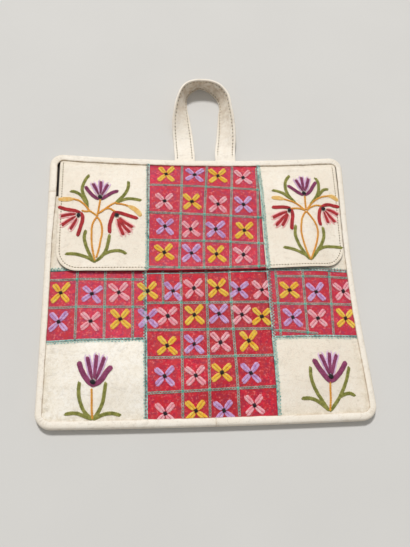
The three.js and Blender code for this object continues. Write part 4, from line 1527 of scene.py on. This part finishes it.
# The zigzag's lines over the seams, each with the side on which its cream leather lies
seamLines = [
    ("flap", -1, [(-48.4, 118.5), (-49.2, 60), (-50, 6.2)]),
    ("flap", 1, [(55.9, 118), (56.2, 60), (56.6, 6.6)]), ("front", -1, [(-52.2, 81), (-51.6, -120.2)]),
    ("front", 1, [(56, 81), (56.6, -120.2)]), ("front", 1, [(-133.6, 9), (-53.4, 8.6)]),
    ("front", -1, [(130.8, 6.6), (57.4, 7.2)]), ("front", -1, [(-133.8, -55), (-53.2, -54.4)]),
    ("front", 1, [(131.6, -54.4), (57.6, -54.8)]),
]
zigzag = {
    "pitch": 2.8, "redSide": -0.3, "creamSide": 2.1, "thread": 0.27, "uneven": 0.1, "lift": 0.25,
    "rowAt": 0.55, "rowLift": 0.05,
    # a tooth's corners: how far along its pitch, on which side, how high
    "corners": [(0, "redSide", 0.2), (0.42, "creamSide", 0.3), (0.5, "creamSide", 0.2), (1, "redSide", 0.45)],
}
crossingKnot = {"size": 0.75, "lift": 0.2}
underFlapRow = [(-50.5, 3.8), (0, 4.6), (55.4, 5.6)]


# One tooth of the zigzag: a bevelled curve made into a mesh, to be repeated along the seam
def makeTooth():
    data = bpy.data.curves.new("zigzagTooth", "CURVE")
    data.dimensions = "3D"
    data.bevel_depth = zigzag["thread"] * mm
    data.bevel_resolution = 1
    data.use_fill_caps = True
    line = data.splines.new("POLY")
    line.points.add(len(zigzag["corners"]) - 1)
    for point, (share, side, height) in zip(line.points, zigzag["corners"]):
        point.co = (share * zigzag["pitch"] * mm, zigzag[side] * mm, height * mm, 1)
    pickOnly(linked("zigzagTooth", data))
    bpy.ops.object.convert(target="MESH")
    tooth = bpy.context.object
    smoothShade(tooth, 60)
    return tooth


zigzagTooth = makeTooth()


def sewZigzag(region, points, creamSide):
    path, length = drawPath(points)
    run = ownCopy(zigzagTooth)
    count = round(length / zigzag["pitch"])
    repeat(run, count, length / count)
    spots = readPoints(run)
    tooth = np.arange(len(spots)) // len(zigzagTooth.data.vertices)
    spots[:, 1] *= np.random.default_rng(count).normal(1, zigzag["uneven"], count)[tooth] * creamSide
    movePoints(run, spots)
    if creamSide < 0:
        editWhole(run, (bpy.ops.mesh.flip_normals, {}))
    layAlong(region, "tealThread", run, path, zigzag["lift"])


# The line moved over to the red side of the seam, where a plain row lies beside the zigzag
def towardsRed(line, side):
    (ax, ay), (bx, by) = line[0], line[-1]
    shift = zigzag["rowAt"] * side / math.hypot(bx - ax, by - ay)
    return [(x + (by - ay) * shift, y - (bx - ax) * shift) for x, y in line]


def crossingsOf(lines):
    found = []
    upright = [line for line in lines if abs(line[0][0] - line[-1][0]) < abs(line[0][1] - line[-1][1])]
    level = [line for line in lines if line not in upright]
    for first in upright:
        for second in level:
            y = sum(p[1] for p in second) / len(second)
            for _ in range(4):
                ys, xs = zip(*sorted((p[1], p[0]) for p in first))
                x = float(np.interp(y, ys, xs))
                lx, ly = zip(*sorted(second))
                y = float(np.interp(x, lx, ly))
            if min(lx) - 1 <= x <= max(lx) + 1 and min(ys) - 1 <= y <= max(ys) + 1:
                found.append((x, y))
    return found


print("lines and seams")
for region, lines in gridLines.items():
    for line in lines:
        sewAlong(region, "gridThread", "grid", line)
    for i, (x, y) in enumerate(crossingsOf(lines)):
        tieKnot(region, "crossingThread", x, y, **crossingKnot, seed=i)
for region, creamSide, line in seamLines:
    sewZigzag(region, line, creamSide)
    sewAlong(region, "tealThread", "seam", towardsRed(line, creamSide), lift=zigzag["rowLift"])
sewAlong("front", "tealThread", "seam", underFlapRow)

machine = {
    "length": 2.1, "thread": 0.24, "dive": 0.32, "cut": 0.55, "lift": 0.12,
    "share": 0.8, "holeLonger": 1.5, "holeSlimmer": 0.9,
    "flapPitch": 2.6, "flapSides": (117, 90, 60), "flapMiddle": 24, "flapCorner": 9, "flapCornerEnd": 8,
    "mouthPitch": 2.8, "mouthLine": 76.8, "mouthEnds": ((-128, -56), (59, 128), (-49, 52)),
    "strapShare": 0.74, "strapFatter": 1.1, "strapEnds": (11, 10),
    "strapProud": ((1, 0.02), (-1, -0.26)),
    "holeWide": 0.55, "holeNarrow": 0.45, "holeDepth": 0.16, "holeRim": 0.1,
}


# One machine stitch: a thin bar that dives into the leather at both ends
def makeStitch():
    bpy.ops.mesh.primitive_cylinder_add(
        vertices=6, radius=machine["thread"] * mm, depth=machine["length"] * mm, rotation=(0, math.pi / 2, 0)
    )
    stitch = joined([bpy.context.object], "machineStitch")
    cuts = [(side * machine["cut"] * mm, 0, 0) for side in (-1, 1)]
    editWhole(stitch, *[(bpy.ops.mesh.bisect, {"plane_co": cut, "plane_no": (1, 0, 0)}) for cut in cuts])
    spots = readPoints(stitch)
    spots[:, 2] -= machine["dive"] * (np.abs(spots[:, 0]) / (machine["length"] / 2)) ** 3
    movePoints(stitch, spots)
    smoothShade(stitch, 70)
    return stitch


# The needle's hole: a small pit with a turned-in rim, its dark colour painted shade
def makeHole():
    bpy.ops.mesh.primitive_cone_add(
        vertices=8, radius1=machine["holeWide"] * mm, radius2=machine["holeNarrow"] * mm,
        depth=machine["holeDepth"] * mm, end_fill_type="NGON",
    )
    hole = bpy.context.object
    bpy.ops.object.mode_set(mode="EDIT")
    bpy.ops.mesh.select_all(action="DESELECT")
    bpy.ops.object.mode_set(mode="OBJECT")
    for face in hole.data.polygons:
        face.select = face.normal.z > 0.9
    bpy.ops.object.mode_set(mode="EDIT")
    bpy.ops.mesh.select_mode(type="FACE")
    bpy.ops.mesh.inset(thickness=machine["holeRim"] * mm)
    bpy.ops.transform.translate(value=(0, 0, -machine["holeRim"] * mm))
    bpy.ops.object.mode_set(mode="OBJECT")
    return hole


machineStitch = makeStitch()
needleHole = makeHole()


# One stitch, and the needle hole at its start
def sewStitch(region, start, end, turn, stretch, fatness, holeWidth):
    for piece, thread, at, size in (
        (machineStitch, "sewingThread", (start + end) / 2, (stretch, fatness, fatness, 1)),
        (needleHole, "needleHole", start, (machine["holeLonger"], holeWidth, 1, 1)),
    ):
        keepRun(region, thread, ownCopy(piece, placeAt(*at) @ turn @ Matrix.Diagonal(size)))


# Stitches laid flat along a line on a region
def machineLine(region, points, pitch):
    points = np.array(points, float)
    run = runAlong(points)
    at = np.linspace(0, run[-1], max(2, round(run[-1] / pitch)) + 1)
    x, y = [np.interp(at, run, points[:, axis]) for axis in (0, 1)]
    spots = stack(x, y, np.full(len(at), machine["lift"]))
    for a, b in zip(spots[:-1], spots[1:]):
        angle = math.atan2(b[1] - a[1], b[0] - a[0])
        stretch = np.hypot(*(b - a)[:2]) * machine["share"] / machine["length"]
        sewStitch(region, a, b, Matrix.Rotation(angle, 4, "Z"), stretch, 1, machine["holeSlimmer"])


def flapStitchLine():
    inset = flap["stitchLine"]
    left, right, r = flap["left"] + inset, flap["right"] - inset, flap["corner"] - inset
    low = flap["edge"] + inset
    quarter = np.linspace(0, math.pi / 2, machine["flapCorner"])
    firstX, lastX = left + r + machine["flapCornerEnd"], right - r - machine["flapCornerEnd"]

    def corner(x, start):
        return [(x + r * math.cos(start + a), low + r + r * math.sin(start + a)) for a in quarter]

    line = [(left, height) for height in machine["flapSides"]] + corner(left + r, math.pi)
    line += [(x, low) for x in np.linspace(firstX, lastX, machine["flapMiddle"])]
    line += corner(right - r, 1.5 * math.pi) + [(right, height) for height in machine["flapSides"][::-1]]
    x, y = np.array(line).T
    return np.stack(pulledIn(x, y + (flapEdgeAt(x) - flap["edge"]) * downFlap(y)), axis=1)


# On both faces of the strap, sunk into the one that lies on the table
def sewStrap():
    first, last = machine["strapEnds"]
    at = np.arange(first, loopLength - last, strap["stitchPitch"])
    base, across, through, thick = strapFrame(at)
    stretch = strap["stitchPitch"] * machine["strapShare"] / machine["length"]
    for face, proud in machine["strapProud"]:
        for inset in (strap["stitchInset"], strap["width"] - strap["stitchInset"]):
            spots = base + across * inset + through * (face * (thick / 2 + proud))[:, None]
            for i in range(len(at) - 1):
                ahead = Vector(spots[i + 1] - spots[i]).normalized()
                side = Vector(through[i] * face).cross(ahead).normalized()
                turn = Matrix((ahead, side, ahead.cross(side))).transposed().to_4x4()
                sewStitch("strap", spots[i], spots[i + 1], turn, stretch, machine["strapFatter"], 1)


print("machine stitching")
machineLine("flapEdge", flapStitchLine(), machine["flapPitch"])
sewStrap()
for ends in machine["mouthEnds"]:
    machineLine("front", [(x, machine["mouthLine"]) for x in ends], machine["mouthPitch"])

# Which surface a region's threads are pressed onto, and how their pieces are named
regions = {
    "front": (onFront, "body"),
    "leftArm": (onFront, "leftArm"),
    "centre": (onFront, "centreBand"),
    "rightArm": (onFront, "rightArm"),
    "flap": (onFlap, "flap"),
    "flapEdge": (onFlap, "flapEdge"),
    "strap": (None, "handle"),
}
edgeSink = 0.14  # the stitches round the flap lie in their groove


def trimBeyond(piece, cuts):
    for (cx, cy), (nx, ny) in cuts:
        line = {"plane_co": (cx * mm, cy * mm, 0), "plane_no": (nx, ny, 0)}
        editWhole(piece, (bpy.ops.mesh.bisect, {**line, "use_fill": True, "clear_outer": True}))


def pressThreads():
    for (region, thread), runs in sewn.items():
        surface, prefix = regions[region]
        name = prefix + thread[0].upper() + thread[1:]
        piece = joined(runs, name)
        if region in flowerCuts:
            trimBeyond(piece, flowerCuts[region])
        spots = readPoints(piece)
        if surface:
            spots[:, 2] += surface(spots[:, 0], spots[:, 1])
        if region == "flapEdge":
            spots[:, 2] -= edgeSink
        movePoints(piece, spots)
        rememberPlace(piece)
        finishPiece(piece, thread, bends=region in ("flap", "flapEdge"))
        piece.data.calc_loop_triangles()
        print("  ", name, len(piece.data.loop_triangles), "triangles")


print("pressing the threads down")
pressThreads()
threwAway([*links.values(), knotStart, zigzagTooth, machineStitch, needleHole])
